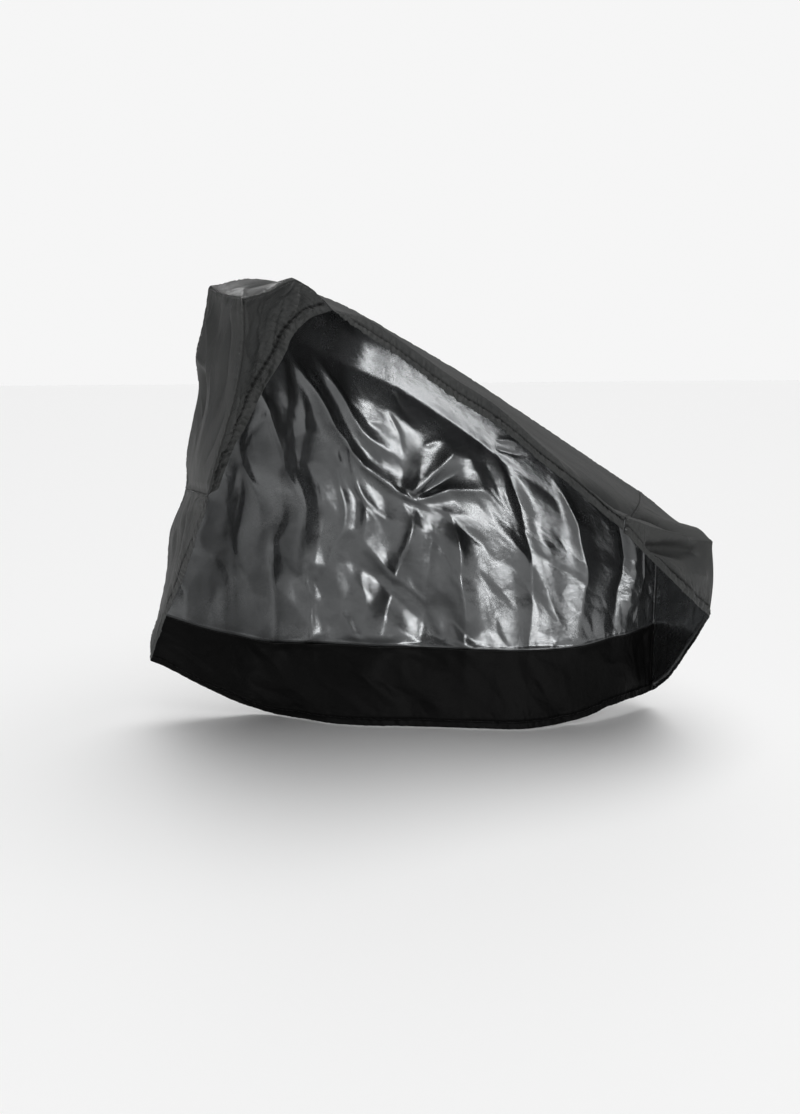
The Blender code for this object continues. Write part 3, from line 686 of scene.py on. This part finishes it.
def from_sides(grid):
    """Distance of every point of a grid to each of its sides, along its rows and columns."""
    steps = np.linalg.norm(np.diff(grid, axis=1), axis=2)
    along = np.concatenate([np.zeros((len(grid), 1)), np.cumsum(steps, axis=1)], axis=1)
    steps = np.linalg.norm(np.diff(grid, axis=0), axis=2)
    down = np.concatenate([np.zeros((1, grid.shape[1])), np.cumsum(steps, axis=0)], axis=0)
    return {"left": along, "right": along[:, -1:] - along, "top": down, "bottom": down[-1:] - down}


def rounded(grids):
    """The grids with their shared edges rounded: points near them move towards the middle of their
    neighbours. Points that two grids share stay shared."""
    places = np.concatenate([grid.reshape(-1, 3) for grid in grids.values()])
    first, shared = welded(places)
    points = places[first]
    weight = np.zeros(len(points))
    links, start = [], 0
    for name, grid in grids.items():
        rows, columns = grid.shape[:2]
        numbers = shared[start:start + rows * columns].reshape(rows, columns)
        start += rows * columns
        links += [np.stack([numbers[:, :-1].ravel(), numbers[:, 1:].ravel()]),
                  np.stack([numbers[:-1].ravel(), numbers[1:].ravel()])]
        sides = from_sides(grid)
        for side, (share, distance) in ROUND_EDGES.get(name, {}).items():
            np.maximum.at(weight, numbers.ravel(), (share * np.exp(-(sides[side] / distance)**2)).ravel())
    one, other = np.concatenate(links, axis=1)
    count = np.bincount(one, minlength=len(points)) + np.bincount(other, minlength=len(points))
    for _ in range(ROUNDINGS):
        total = np.zeros(points.shape)
        np.add.at(total, one, points[other])
        np.add.at(total, other, points[one])
        points = points + weight[:, None] * (total / count[:, None] - points)
    made, start = {}, 0
    for name, grid in grids.items():
        size = grid.shape[0] * grid.shape[1]
        made[name] = points[shared[start:start + size]].reshape(grid.shape)
        start += size
    return made


def gathered(grid_name, from_hem, on_hem):
    """Height of the hem: a full channel for the elastic, sewn down with puckers at its inner edge, and
    gathers across it that reach into the panel. Also how much shade is painted along those stitches, for
    the shade in their groove. from_hem is the distance to the hem's edge and on_hem the distance along it."""
    height, reach, pitch, fullness = HEMS[grid_name]
    seed = 40 + len(grid_name)
    pucker_pitch, drift_pitch, uneven_pitch = 0.0115, 0.05, 0.11
    groove, pucker_depth, groove_width, painted_shade_width = 0.0022, 0.0034, 0.0034, 0.0042
    full = np.sqrt(np.clip(1 - (2 * from_hem / HEM_WIDTH - 1)**2, 0.0, 1.0)) * fullness
    from_line = from_hem - HEM_WIDTH
    across = np.zeros(from_hem.shape)
    shifted = on_hem / pucker_pitch + 0.8 * noise(on_hem / drift_pitch, across, seed + 5)
    puckers = 0.5 + 0.5 * np.cos(2 * np.pi * shifted)
    sewn = -(groove + pucker_depth * puckers) * np.exp(-(from_line / groove_width)**2)
    drift = 0.5 * noise(on_hem / drift_pitch, from_hem / 0.08, seed)
    gathers = ridges(on_hem / pitch + drift, from_hem / (pitch * 4), seed + 3) - 0.4
    small = ridges(on_hem / (pitch * 0.45), from_hem / (pitch * 1.2), seed + 6) - 0.4
    strength = np.exp(-np.maximum(from_line, 0.0) / reach)
    uneven = 0.65 + 0.35 * noise(on_hem / uneven_pitch, across, seed + 9)
    # Painted shade along the hem's row of stitches: the colour is made darker here for the shade in its
    # groove, most at the puckers
    painted_shade = np.exp(-(from_line / painted_shade_width)**2) * (0.55 + 0.45 * puckers)
    return full + sewn + height * uneven * strength * (0.7 * gathers + 0.5 * small), painted_shade


def seam_height(distance, on_seam, seed):
    """Height beside a seam: the lap of the two panels, and puckers that are pulled in by its stitches."""
    lap_height, lap_width, pucker_height, fullest = 0.0009, 0.0080, 0.0016, 0.0060
    lap = lap_height * ease(distance / 0.0020) * (1 - ease((distance - lap_width) / 0.0030))
    near = distance / fullest * np.exp(1 - distance / fullest)
    puckers = ridges(on_seam / 0.016, distance / 0.030, seed) - 0.45
    return lap + pucker_height * near * puckers


def hung(grid, share):
    """The top's grid with its near edge hanging down at the hem: the cloth rises by DROOP from the hem's
    edge over its first centimetres, and comes back to the form further in. share is the place along the
    hem: the droop grows from the hem's start and is gone at its end."""
    up_to, back_over, start_share = 0.034, 0.090, 0.14
    from_hem = from_sides(grid)["top"]
    rise = DROOP * ease(from_hem / up_to) * np.exp(-(np.maximum(from_hem - up_to, 0.0) / back_over)**2)
    made = grid.copy()
    made[:, :, 2] += rise * (ease(share / start_share) * (1 - np.clip(share, 0.0, 1.0)**3))[None]
    return made


def wrinkled(along, down, name):
    """Two heights of a panel's wrinkles: of its large and middle ones, flat between sharp ridges and drawn
    out in the direction of its tension, and of its small ones, the same in all directions."""
    large, middle, small, direction, longer, wide = WRINKLES[name]
    seed = 100 + 7 * list(WRINKLES).index(name)
    turn = np.radians(direction)
    lengthwise = along * np.cos(turn) + down * np.sin(turn)
    across = down * np.cos(turn) - along * np.sin(turn)
    one, other = LARGE * wide, MIDDLE * wide
    return (large * (facets(across / one, lengthwise / (one * longer), seed) - 0.5)
            + middle * (facets(across / other, lengthwise / (other * longer), seed + 3) - 0.5),
            small * (ridges(along / SMALL, down / SMALL, seed + 6) - 0.4))


def calmed(crumple, along, down):
    """The far side's wrinkles, taken down or up round each place of the CALM table. along and down are
    shares."""
    for at_along, at_down, width_along, width_down, smoother in CALM:
        away = ((along - at_along) / width_along)**2 + ((down - at_down) / width_down)**2
        crumple = crumple * (1 - smoother * np.exp(-away))
    return crumple


def lines_height(table, name, along, down, whole, shape):
    """Height of all the folds, creases or slopes that a table has under a name. whole is the size over
    which they are laid."""
    return sum(line_height(along, down, np.array(places) * whole, rise, end_rise, shape(*widths))
               for *widths, rise, end_rise, places in table.get(name, []))


def beside_seams(name, along, down, sides):
    """What a panel's sewn and welded sides do to it: how much is left beside them of its soft folds, its
    creases and its wrinkles, the height of its seams, and how much shade is painted at their stitches,
    for the shade in their grooves."""
    flat_along, sewn = GRIDS[name][0], GRIDS[name][5]
    welds = WELDED.get(name, ())
    painted_shade_most, painted_shade_width, turn_over = 0.55, 0.0030, 0.02
    soft, sharp, crumple = np.ones(along.shape), np.ones(along.shape), np.ones(along.shape)
    height, painted_shade = np.zeros(along.shape), np.zeros(along.shape)
    for number, side in enumerate(sewn + welds):
        distance = sides[side]
        here = 1.0
        if (name, side) == ("top", "top"):
            here = 1 - ease((along / flat_along - APEX) / turn_over + 0.5)
        if (name, side) not in SKIRT_SEAM:
            soft *= 1 - here * (1 - ease(distance / SEWN_MARGIN))
        sharp *= 1 - here * (1 - ease(distance / CREASE_MARGIN))
        crumple *= 1 - here * (1 - ease(distance / CRUMPLE_MARGIN))
        if side in sewn:
            on_seam = along if side in ("top", "bottom") else down
            height += here * seam_height(distance, on_seam, 300 + 11 * number + len(name))
            # Painted shade along the seam's row of stitches, for the shade in its groove
            painted_shade = np.maximum(painted_shade, here * painted_shade_most * np.exp(-(distance / painted_shade_width)**2))
        if (name, side) in SKIRT_SEAM:
            height -= SEAM_ROLL * np.exp(-(distance / SEAM_ROLL_WIDTH)**2)
    for side in welds:
        height *= ease(sides[side] / CREASE_MARGIN)
    return soft, sharp, crumple, height, painted_shade


def beside_hem(name, along, down, from_hem):
    """Height of a panel's hem, and how much shade is painted along its stitched groove. The top's begins
    where its sewn stretch ends."""
    hem, start_over = GRIDS[name][6], 0.03
    here = ease((along / GRIDS[name][0] - APEX) / start_over) if name == "top" else 1.0
    height, painted_shade = gathered(name, from_hem, along if hem in ("top", "bottom") else down)
    return here * height, here * painted_shade


def detailed(form, name, folds_name, down_from=0.0, down_to=1.0):
    """The fine grid of a panel, its flat coordinates, and how much shade is painted in its seam and hem
    grooves. It covers the form's rows between two shares, and gets its folds, creases, wrinkles, hem and
    seams."""
    flat_along, flat_down, out, cells_along, cells_down, _, hem = GRIDS[name]
    rows, columns = form.shape[:2]
    v = np.linspace(0.0, 1.0, cells_down + 1)
    if hem in ("top", "bottom"):
        v = finer_near_end(v, hem == "bottom")
    v = down_from + (down_to - down_from) * v
    u = np.linspace(0.0, 1.0, cells_along + 1)
    grid = pulled(resample(form, v * (rows - 1), u * (columns - 1)))
    if name == "top":
        grid = hung(grid, (u - APEX) / (1 - APEX))
    whole = np.array((flat_along, flat_down / (down_to - down_from)))
    along, down = np.meshgrid(u * whole[0], v * whole[1])
    soft = (lines_height(FOLDS, folds_name, along, down, whole, bell)
            + lines_height(SLOPES, folds_name, along, down, whole, tent))
    sharp = lines_height(CREASES, folds_name, along, down, whole, crisp)
    crumple, small = wrinkled(along, down, name)
    if folds_name == "far":
        crumple = calmed(crumple, along / whole[0], down / whole[1])
    sides = from_sides(grid)
    soft_left, sharp_left, crumple_left, height, painted_shade = beside_seams(name, along, down, sides)
    height += soft * soft_left + crumple * crumple_left + (sharp + small) * sharp_left
    if hem:
        hem_height, hem_painted_shade = beside_hem(name, along, down, sides[hem])
        height += sharp_left * hem_height
        painted_shade = np.maximum(painted_shade, hem_painted_shade)
    return grid + height[:, :, None] * normals(grid, out), np.stack([along, down], axis=-1), painted_shade


def surface(parts):
    """A piece's grids as one surface that faces out: its points, its faces of four corners, the flat
    coordinates of every face's corners, and how much shade is painted at each point."""
    points, quads, flats, painted_shade, start = [], [], [], [], 0
    for grid_name, (grid, flat, part_painted_shade) in parts.items():
        rows, columns = grid.shape[:2]
        number = np.arange(rows * columns).reshape(rows, columns) + start
        quad = np.stack([number[:-1, :-1], number[:-1, 1:], number[1:, 1:], number[1:, :-1]], axis=-1)
        quad = quad.reshape(-1, 4)
        if np.sum(crossed(grid) * np.array(GRIDS[grid_name][2])) < 0:
            quad = quad[:, ::-1]
        points.append(grid.reshape(-1, 3))
        quads.append(quad)
        flats.append(flat.reshape(-1, 2))
        painted_shade.append(part_painted_shade.ravel())
        start += rows * columns
    points, quads, flats, painted_shade = (np.concatenate(each) for each in (points, quads, flats, painted_shade))
    points = points - np.array(HOLD)
    flat_corners = flats[quads.ravel()]
    if len(parts) > 1:
        first, shared = welded(points)
        points, painted_shade, quads = points[first], painted_shade[first], shared[quads]
    return points, quads, flat_corners, painted_shade


def mesh_object(name, points, faces, finishes, collection):
    """An object with a mesh of points and faces and with its materials, in a collection."""
    mesh = bpy.data.meshes.new(name)
    mesh.from_pydata(points, [], faces)
    for finish in finishes:
        mesh.materials.append(finish)
    made = bpy.data.objects.new(name, mesh)
    collection.objects.link(made)
    return made


def cloth_mesh(name, parts, finishes, cover):
    """A piece of cloth: its surface, with its flat coordinates as UVs in metres, and its thickness laid
    on the outside. finishes is its outer and its inner material."""
    points, quads, flat_corners, painted_shade = surface(parts)
    piece = mesh_object(name, points, quads, finishes, cover)
    mesh = piece.data
    uv = mesh.uv_layers.new(name="flat cloth")
    uv.uv.foreach_set("vector", flat_corners.astype(np.float32).ravel())
    # The painted shade of the seams and hems, kept on the points for the materials
    mesh.attributes.new("painted_shade", "FLOAT", "POINT").data.foreach_set("value", painted_shade.astype(np.float32))
    mesh.shade_smooth()
    thickness = piece.modifiers.new("Thickness", "SOLIDIFY")
    thickness.thickness = CLOTH
    thickness.offset = 1.0
    thickness.material_offset = 1
    return piece


def stitch_rows(parts):
    """Middles, directions along the row and outward directions of the stitches on all of a piece's grids,
    every STITCH_PITCH along each row."""
    rows = []
    for grid_name, (grid, _, _) in parts.items():
        out = normals(grid, GRIDS[grid_name][2])
        sides = from_sides(grid)
        for side, distance in STITCHES[grid_name]:
            away, points, outward = sides[side], grid, out
            if side in ("left", "right"):
                away, points, outward = away.T, points.transpose(1, 0, 2), outward.transpose(1, 0, 2)
            if side in ("bottom", "right"):
                away, points, outward = away[::-1], points[::-1], outward[::-1]
            row = np.clip(np.sum(away <= distance, axis=0) - 1, 0, len(away) - 2)
            column = np.arange(points.shape[1])
            share = ((distance - away[row, column]) / (away[row + 1, column] - away[row, column]))[:, None]
            line = points[row, column] * (1 - share) + points[row + 1, column] * share
            facing = outward[row, column]
            if grid_name == "top" and side == "top":
                line, facing = line[int(APEX * len(line)):], facing[int(APEX * len(facing)):]
            passed = np.concatenate([[0.0], np.cumsum(np.linalg.norm(np.diff(line, axis=0), axis=1))])
            at = np.arange(STITCH_PITCH, passed[-1] - STITCH_PITCH, STITCH_PITCH)

            def between(values, where):
                return np.stack([np.interp(where, passed, values[:, axis]) for axis in range(3)], axis=1)
            run = between(line, at + STITCH_LENGTH / 2) - between(line, at - STITCH_LENGTH / 2)
            rows.append((between(line, at), unit(run), unit(between(facing, at))))
    return [np.concatenate(each) for each in zip(*rows)]


def stitch_mesh(name, parts, finish, cover):
    """The stitches of a piece: each is a thread of three rings of count points, thickest in its middle,
    that shows on both faces of the cloth."""
    count, end_thickness = 5, 0.4
    middle, along, up = stitch_rows(parts)
    across = unit(np.cross(along, up))
    up = np.cross(across, along)
    ring = np.arange(count)
    angle = ring * 2 * np.pi / count
    rings = [(at * STITCH_LENGTH, thickness * STITCH_RADIUS)
             for at, thickness in ((-0.5, end_thickness), (0.0, 1.0), (0.5, end_thickness))]
    around = np.cos(angle)[None, :, None] * up[:, None] + np.sin(angle)[None, :, None] * across[:, None]
    points = np.stack([(middle + up * CLOTH / 2 + along * at)[:, None] + radius * around
                       for at, radius in rings], axis=1).reshape(-1, 3) - np.array(HOLD)
    after = (ring + 1) % count
    wall = np.stack([ring, after, count + after, count + ring], axis=1)
    walls = np.concatenate([wall, count + wall])
    ends = np.stack([ring[::-1], 2 * count + ring])
    first = 3 * count * np.arange(len(middle))[:, None, None]
    faces = (walls + first).reshape(-1, 4).tolist() + (ends + first).reshape(-1, count).tolist()
    made = mesh_object(name, points, faces, [finish], cover)
    made.data.shade_smooth()
    return made


def new_material(name):
    """An empty node material and its shader."""
    made = bpy.data.materials.new(name)
    made.use_nodes = True
    return made, made.node_tree.nodes["Principled BSDF"]


def node(tree, kind, **values):
    """A node of a tree with its properties set."""
    made = tree.nodes.new(kind)
    for key, value in values.items():
        setattr(made, key, value)
    return made


def set_inputs(made, values):
    """Sets values on a node's own sockets, by their names."""
    for name, value in values.items():
        made.inputs[name].default_value = value


def math_node(tree, operation, *values):
    """A Math node's result: each value is a socket or a number."""
    made = node(tree, "ShaderNodeMath", operation=operation)
    for socket, value in zip(made.inputs, values):
        if isinstance(value, (int, float)):
            socket.default_value = value
        else:
            tree.links.new(value, socket)
    return made.outputs[0]


def noise_node(tree, place, scale, detail, roughness=0.5):
    """Noise from 0 to 1 over a place."""
    made = tree.nodes.new("ShaderNodeTexNoise")
    set_inputs(made, {"Scale": scale, "Detail": detail, "Roughness": roughness})
    tree.links.new(place, made.inputs["Vector"])
    return made.outputs["Fac"]


def range_node(tree, value, from_range, to_range):
    """A value taken evenly from one range to another, and kept within that."""
    made = tree.nodes.new("ShaderNodeMapRange")
    set_inputs(made, dict(zip(("From Min", "From Max", "To Min", "To Max"), (*from_range, *to_range))))
    tree.links.new(value, made.inputs["Value"])
    return made.outputs["Result"]


def ramp_node(tree, value, from_range, dark, light):
    """A colour that goes from dark to light as the value goes over a range."""
    made = tree.nodes.new("ShaderNodeValToRGB")
    for stop, position, colour in zip(made.color_ramp.elements, from_range, (dark, light)):
        stop.position = position
        stop.color = (*colour, 1.0)
    tree.links.new(value, made.inputs["Fac"])
    return made.outputs["Color"]


def bump_node(tree, height, distance, strength):
    """A Bump node over a height."""
    made = tree.nodes.new("ShaderNodeBump")
    set_inputs(made, {"Distance": distance, "Strength": strength})
    tree.links.new(height, made.inputs["Height"])
    return made


def group_node(tree, group, value, name):
    """A group in a tree, with one of its inputs linked."""
    made = node(tree, "ShaderNodeGroup", node_tree=group)
    tree.links.new(value, made.inputs[name])
    return made


def new_group(name, takes, gives):
    """A node group and its two end nodes. takes is the kind of each input, by its name, and gives lists the
    names of its outputs, which are all plain numbers."""
    tree = bpy.data.node_groups.new(name, "ShaderNodeTree")
    for socket, kind in takes.items():
        tree.interface.new_socket(socket, in_out="INPUT", socket_type=kind)
    for socket in gives:
        tree.interface.new_socket(socket, in_out="OUTPUT", socket_type="NodeSocketFloat")
    return tree, tree.nodes.new("NodeGroupInput"), tree.nodes.new("NodeGroupOutput")


def weave_group():
    """Plain weave: threads over and under each other. Takes the flat coordinates in metres and the
    threads in a metre, and gives a height from 0 to 1."""
    tree, start, end = new_group("plain_weave", {"Flat": "NodeSocketVector", "Threads": "NodeSocketFloat"},
                                 ["Height"])
    scaled = node(tree, "ShaderNodeVectorMath", operation="SCALE")
    tree.links.new(start.outputs["Flat"], scaled.inputs[0])
    tree.links.new(start.outputs["Threads"], scaled.inputs["Scale"])
    parts = tree.nodes.new("ShaderNodeSeparateXYZ")
    tree.links.new(scaled.outputs[0], parts.inputs[0])
    warp, weft = (math_node(tree, "SINE", math_node(tree, "MULTIPLY", each, np.pi))
                  for each in parts.outputs[:2])
    crossing = math_node(tree, "MULTIPLY", warp, weft)
    tree.links.new(math_node(tree, "MULTIPLY_ADD", crossing, 0.5, 0.5), end.inputs["Height"])
    return tree


def grain_group():
    """Uneven cloth: soft cloudy patches and fine flecks. Takes Object coordinates, and gives a cloud and
    a fleck value from 0 to 1."""
    tree, start, end = new_group("uneven_cloth", {"Place": "NodeSocketVector"}, ["Cloud", "Fleck"])
    for output, scale, detail in (("Cloud", 7.0, 4.0), ("Fleck", 260.0, 3.0)):
        tree.links.new(noise_node(tree, start.outputs["Place"], scale, detail), end.inputs[output])
    return tree


def cloth_material(name, weave, grain, dark, light, rough, rough_span, weave_bump, crinkle_bump,
                   coat=0.0, coat_rough=0.3, metallic=0.0, specular=0.5):
    """Coated cloth: its colour goes from dark to light in clouds and flecks, and is rougher along the seam
    and hem grooves and darker there with painted shade. Its roughness varies over a span, and its weave
    and fine crinkles are bump."""
    made, shader = new_material(name)
    tree = made.node_tree
    cloud_share, fleck_share, painted_shade_share, painted_shade_dark, rough_in_painted_shade = 0.75, 0.35, 0.9, 0.15, 0.4
    places = tree.nodes.new("ShaderNodeTexCoord")
    uneven = group_node(tree, grain, places.outputs["Object"], "Place")
    mixed = math_node(tree, "ADD", math_node(tree, "MULTIPLY", uneven.outputs["Cloud"], cloud_share),
                      math_node(tree, "MULTIPLY", uneven.outputs["Fleck"], fleck_share))
    # Painted shade: the colour is darkened along the seam and hem grooves for the shade in them, and the
    # same mask makes the cloth rougher there
    painted_shade = node(tree, "ShaderNodeAttribute", attribute_name="painted_shade").outputs["Fac"]
    shaded = node(tree, "ShaderNodeMix", data_type="RGBA", blend_type="MULTIPLY")
    tree.links.new(math_node(tree, "MULTIPLY", painted_shade, painted_shade_share), shaded.inputs["Factor"])
    colour = ramp_node(tree, mixed, from_range=(0.38, 0.72), dark=dark, light=light)
    tree.links.new(colour, shaded.inputs["A"])
    shaded.inputs["B"].default_value = (painted_shade_dark, painted_shade_dark, painted_shade_dark, 1.0)
    tree.links.new(shaded.outputs["Result"], shader.inputs["Base Color"])
    varied = range_node(tree, mixed, from_range=(0.35, 0.75),
                        to_range=(rough - rough_span / 2, rough + rough_span / 2))
    rougher = math_node(tree, "MULTIPLY", painted_shade, rough_in_painted_shade)
    tree.links.new(math_node(tree, "ADD", varied, rougher), shader.inputs["Roughness"])
    threads = group_node(tree, weave, places.outputs["UV"], "Flat")
    threads.inputs["Threads"].default_value = THREADS
    fine = bump_node(tree, threads.outputs["Height"], distance=0.0002, strength=weave_bump)
    crinkles = noise_node(tree, places.outputs["Object"], scale=45.0, detail=5.0, roughness=0.6)
    coarse = bump_node(tree, crinkles, distance=0.004, strength=crinkle_bump)
    tree.links.new(fine.outputs["Normal"], coarse.inputs["Normal"])
    tree.links.new(coarse.outputs["Normal"], shader.inputs["Normal"])
    set_inputs(shader, {"Coat Weight": coat, "Coat Roughness": coat_rough, "Metallic": metallic,
                        "Specular IOR Level": specular})
    return made


def thread_material(grain):
    """Black sewing thread with a slight gloss, a little uneven."""
    made, shader = new_material("black_thread")
    tree = made.node_tree
    places = tree.nodes.new("ShaderNodeTexCoord")
    uneven = group_node(tree, grain, places.outputs["Object"], "Place")
    colour = ramp_node(tree, uneven.outputs["Fleck"], from_range=(0.3, 0.7),
                       dark=(0.012, 0.012, 0.012), light=(0.040, 0.040, 0.041))
    tree.links.new(colour, shader.inputs["Base Color"])
    shader.inputs["Roughness"].default_value = 0.45
    return made


def floor():
    """A plain pale floor under the cover."""
    half, low = 40.0, -HOLD[2]
    pale, shader = new_material("pale_floor")
    set_inputs(shader, {"Base Color": (0.90, 0.90, 0.90, 1.0), "Roughness": 0.6})
    corners = [(-half, -half, low), (half, -half, low), (half, half, low), (-half, half, low)]
    made = mesh_object("floor", corners, [(0, 1, 2, 3)], [pale], bpy.context.scene.collection)


def soft_lamp(name, place, target, size, power, lit):
    """A large soft lamp at a place, turned to a target. It lights one collection, and doesn't show."""
    lamp = bpy.data.lights.new(name, "AREA")
    lamp.shape = "RECTANGLE"
    lamp.size, lamp.size_y = size
    lamp.energy = power
    made = bpy.data.objects.new(name, lamp)
    made.location = place
    made.rotation_mode = "QUATERNION"
    made.rotation_quaternion = (Vector(place) - Vector(target)).to_track_quat("Z", "Y")
    made.visible_camera = False
    made.light_linking.receiver_collection = lit
    bpy.context.scene.collection.objects.link(made)


def studio(cover):
    """A pale room whose light comes mostly from behind the cover and its right, a high lamp that is
    evenly bright over the whole floor, and three soft lamps that light the cover alone: a low one before
    it, which shows in its glossy inside, a narrow one on its left for its folds, and one behind it for
    the sheen of its top."""
    scene = bpy.context.scene
    scene.view_settings.view_transform = "Standard"
    world = bpy.data.worlds.new("room")
    world.use_nodes = True
    tree = world.node_tree
    places = tree.nodes.new("ShaderNodeTexCoord")
    parts = tree.nodes.new("ShaderNodeSeparateXYZ")
    tree.links.new(places.outputs["Generated"], parts.inputs[0])
    behind = range_node(tree, parts.outputs["Y"], from_range=(0.1, 0.7),
                        to_range=(ROOM_ELSEWHERE, ROOM_BEHIND))
    left = range_node(tree, parts.outputs["X"], from_range=(-0.5, 0.0), to_range=(ROOM_LEFT, 1.0))
    rays = tree.nodes.new("ShaderNodeLightPath")
    choice = tree.nodes.new("ShaderNodeMix")
    tree.links.new(rays.outputs["Is Camera Ray"], choice.inputs["Factor"])
    tree.links.new(math_node(tree, "MULTIPLY", behind, left), choice.inputs["A"])
    choice.inputs["B"].default_value = ROOM_LOOK
    tree.links.new(choice.outputs["Result"], tree.nodes["Background"].inputs["Strength"])
    tree.nodes["Background"].inputs["Color"].default_value = (1.0, 1.0, 1.0, 1.0)
    scene.world = world
    lamp = bpy.data.lights.new("lamp_above", "SUN")
    lamp.angle = np.radians(70.0)
    lamp.energy = 2.75
    above = bpy.data.objects.new("lamp_above", lamp)
    above.rotation_mode = "QUATERNION"
    above.rotation_quaternion = Vector((0.10, -0.30, 1.00)).to_track_quat("Z", "Y")
    scene.collection.objects.link(above)
    soft_lamp("lamp_left", place=(-4.6, -1.2, 0.60), target=(-0.2, 0.0, -0.20), size=(0.7, 2.2),
              power=55.0, lit=cover)
    soft_lamp("lamp_behind", place=(-0.5, 6.0, 1.50), target=(-0.2, 0.0, 0.00), size=(1.2, 0.8),
              power=100.0, lit=cover)
    soft_lamp("lamp_low", place=(0.2, -6.1, -0.93), target=(0.2, 0.4, -0.60), size=(3.0, 0.72),
              power=155.0, lit=cover)


def camera():
    """The camera at the photograph's view: its place, how far it is turned and tipped, and its lens."""
    place = (-0.40, -2.59, 1.14 - HOLD[2])
    turned, tipped = 0.26, 0.19
    image_height, focal_pixels, sensor = 1114, 1050.0, 36.0
    ahead = Vector((np.sin(turned) * np.cos(tipped), np.cos(turned) * np.cos(tipped), -np.sin(tipped)))
    right = Vector((np.cos(turned), -np.sin(turned), 0.0))
    up = right.cross(ahead)
    lens = bpy.data.cameras.new("camera")
    lens.sensor_width = sensor
    lens.lens = sensor * focal_pixels / image_height
    lens.clip_start, lens.clip_end = 0.05, 100.0
    made = bpy.data.objects.new("camera", lens)
    made.matrix_world = Matrix.Translation(place) @ Matrix((right, up, -ahead)).transposed().to_4x4()
    bpy.context.scene.collection.objects.link(made)
    bpy.context.scene.camera = made


def main():
    """Builds the stage and the cloth pieces, and hides the model's part that each one takes the place of.
    """
    cover = bpy.data.collections.new("cover")
    bpy.context.scene.collection.children.link(cover)
    camera()
    studio(cover)
    floor()
    weave, grain = weave_group(), grain_group()
    outer = cloth_material("outer_cloth", weave, grain, dark=(0.021, 0.022, 0.022),
                           light=(0.034, 0.035, 0.034), rough=0.54, rough_span=0.14, weave_bump=0.5,
                           crinkle_bump=0.18, specular=0.20)
    inner = cloth_material("inner_coating", weave, grain, dark=(0.085, 0.088, 0.090),
                           light=(0.140, 0.144, 0.147), rough=0.25, rough_span=0.10, weave_bump=0.25,
                           crinkle_bump=0.14, coat=0.15, coat_rough=0.14, metallic=0.88)
    # The skirt's inside: a matt cloth whose near-black colour is partly its own and partly painted shade,
    # far darker than the outer cloth, for the shade on the lower far side
    skirt_inside_shaded = cloth_material("skirt_cloth", weave, grain, dark=(0.002, 0.002, 0.002),
                          light=(0.004, 0.004, 0.004), rough=0.48, rough_span=0.10, weave_bump=0.5,
                          crinkle_bump=0.25, specular=0.06)
    thread = thread_material(grain)
    forms = rounded(form_grids())
    grids = {name: detailed(form, name, name) for name, form in forms.items() if name != "far"}
    grids["far_side"] = detailed(forms["far"], "far_side", "far", 0.0, SKIRT)
    grids["far_skirt"] = detailed(forms["far"], "far_skirt", "far", SKIRT, 1.0)
    made_of = {"tail": ("tail_roof", "tail_flap", "tail_back")}
    finishes = {"far_skirt": (outer, skirt_inside_shaded)}
    for name in FLAT_SIZES:
        parts = {grid_name: grids[grid_name] for grid_name in made_of.get(name, (name,))}
        piece = cloth_mesh(f"{name}_cloth", parts, finishes.get(name, (outer, inner)), cover)
        stitches = stitch_mesh(f"{name}_stitches", parts, thread, cover)
        for each in (piece, stitches):
            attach(each, "root")
        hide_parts(name)


main()
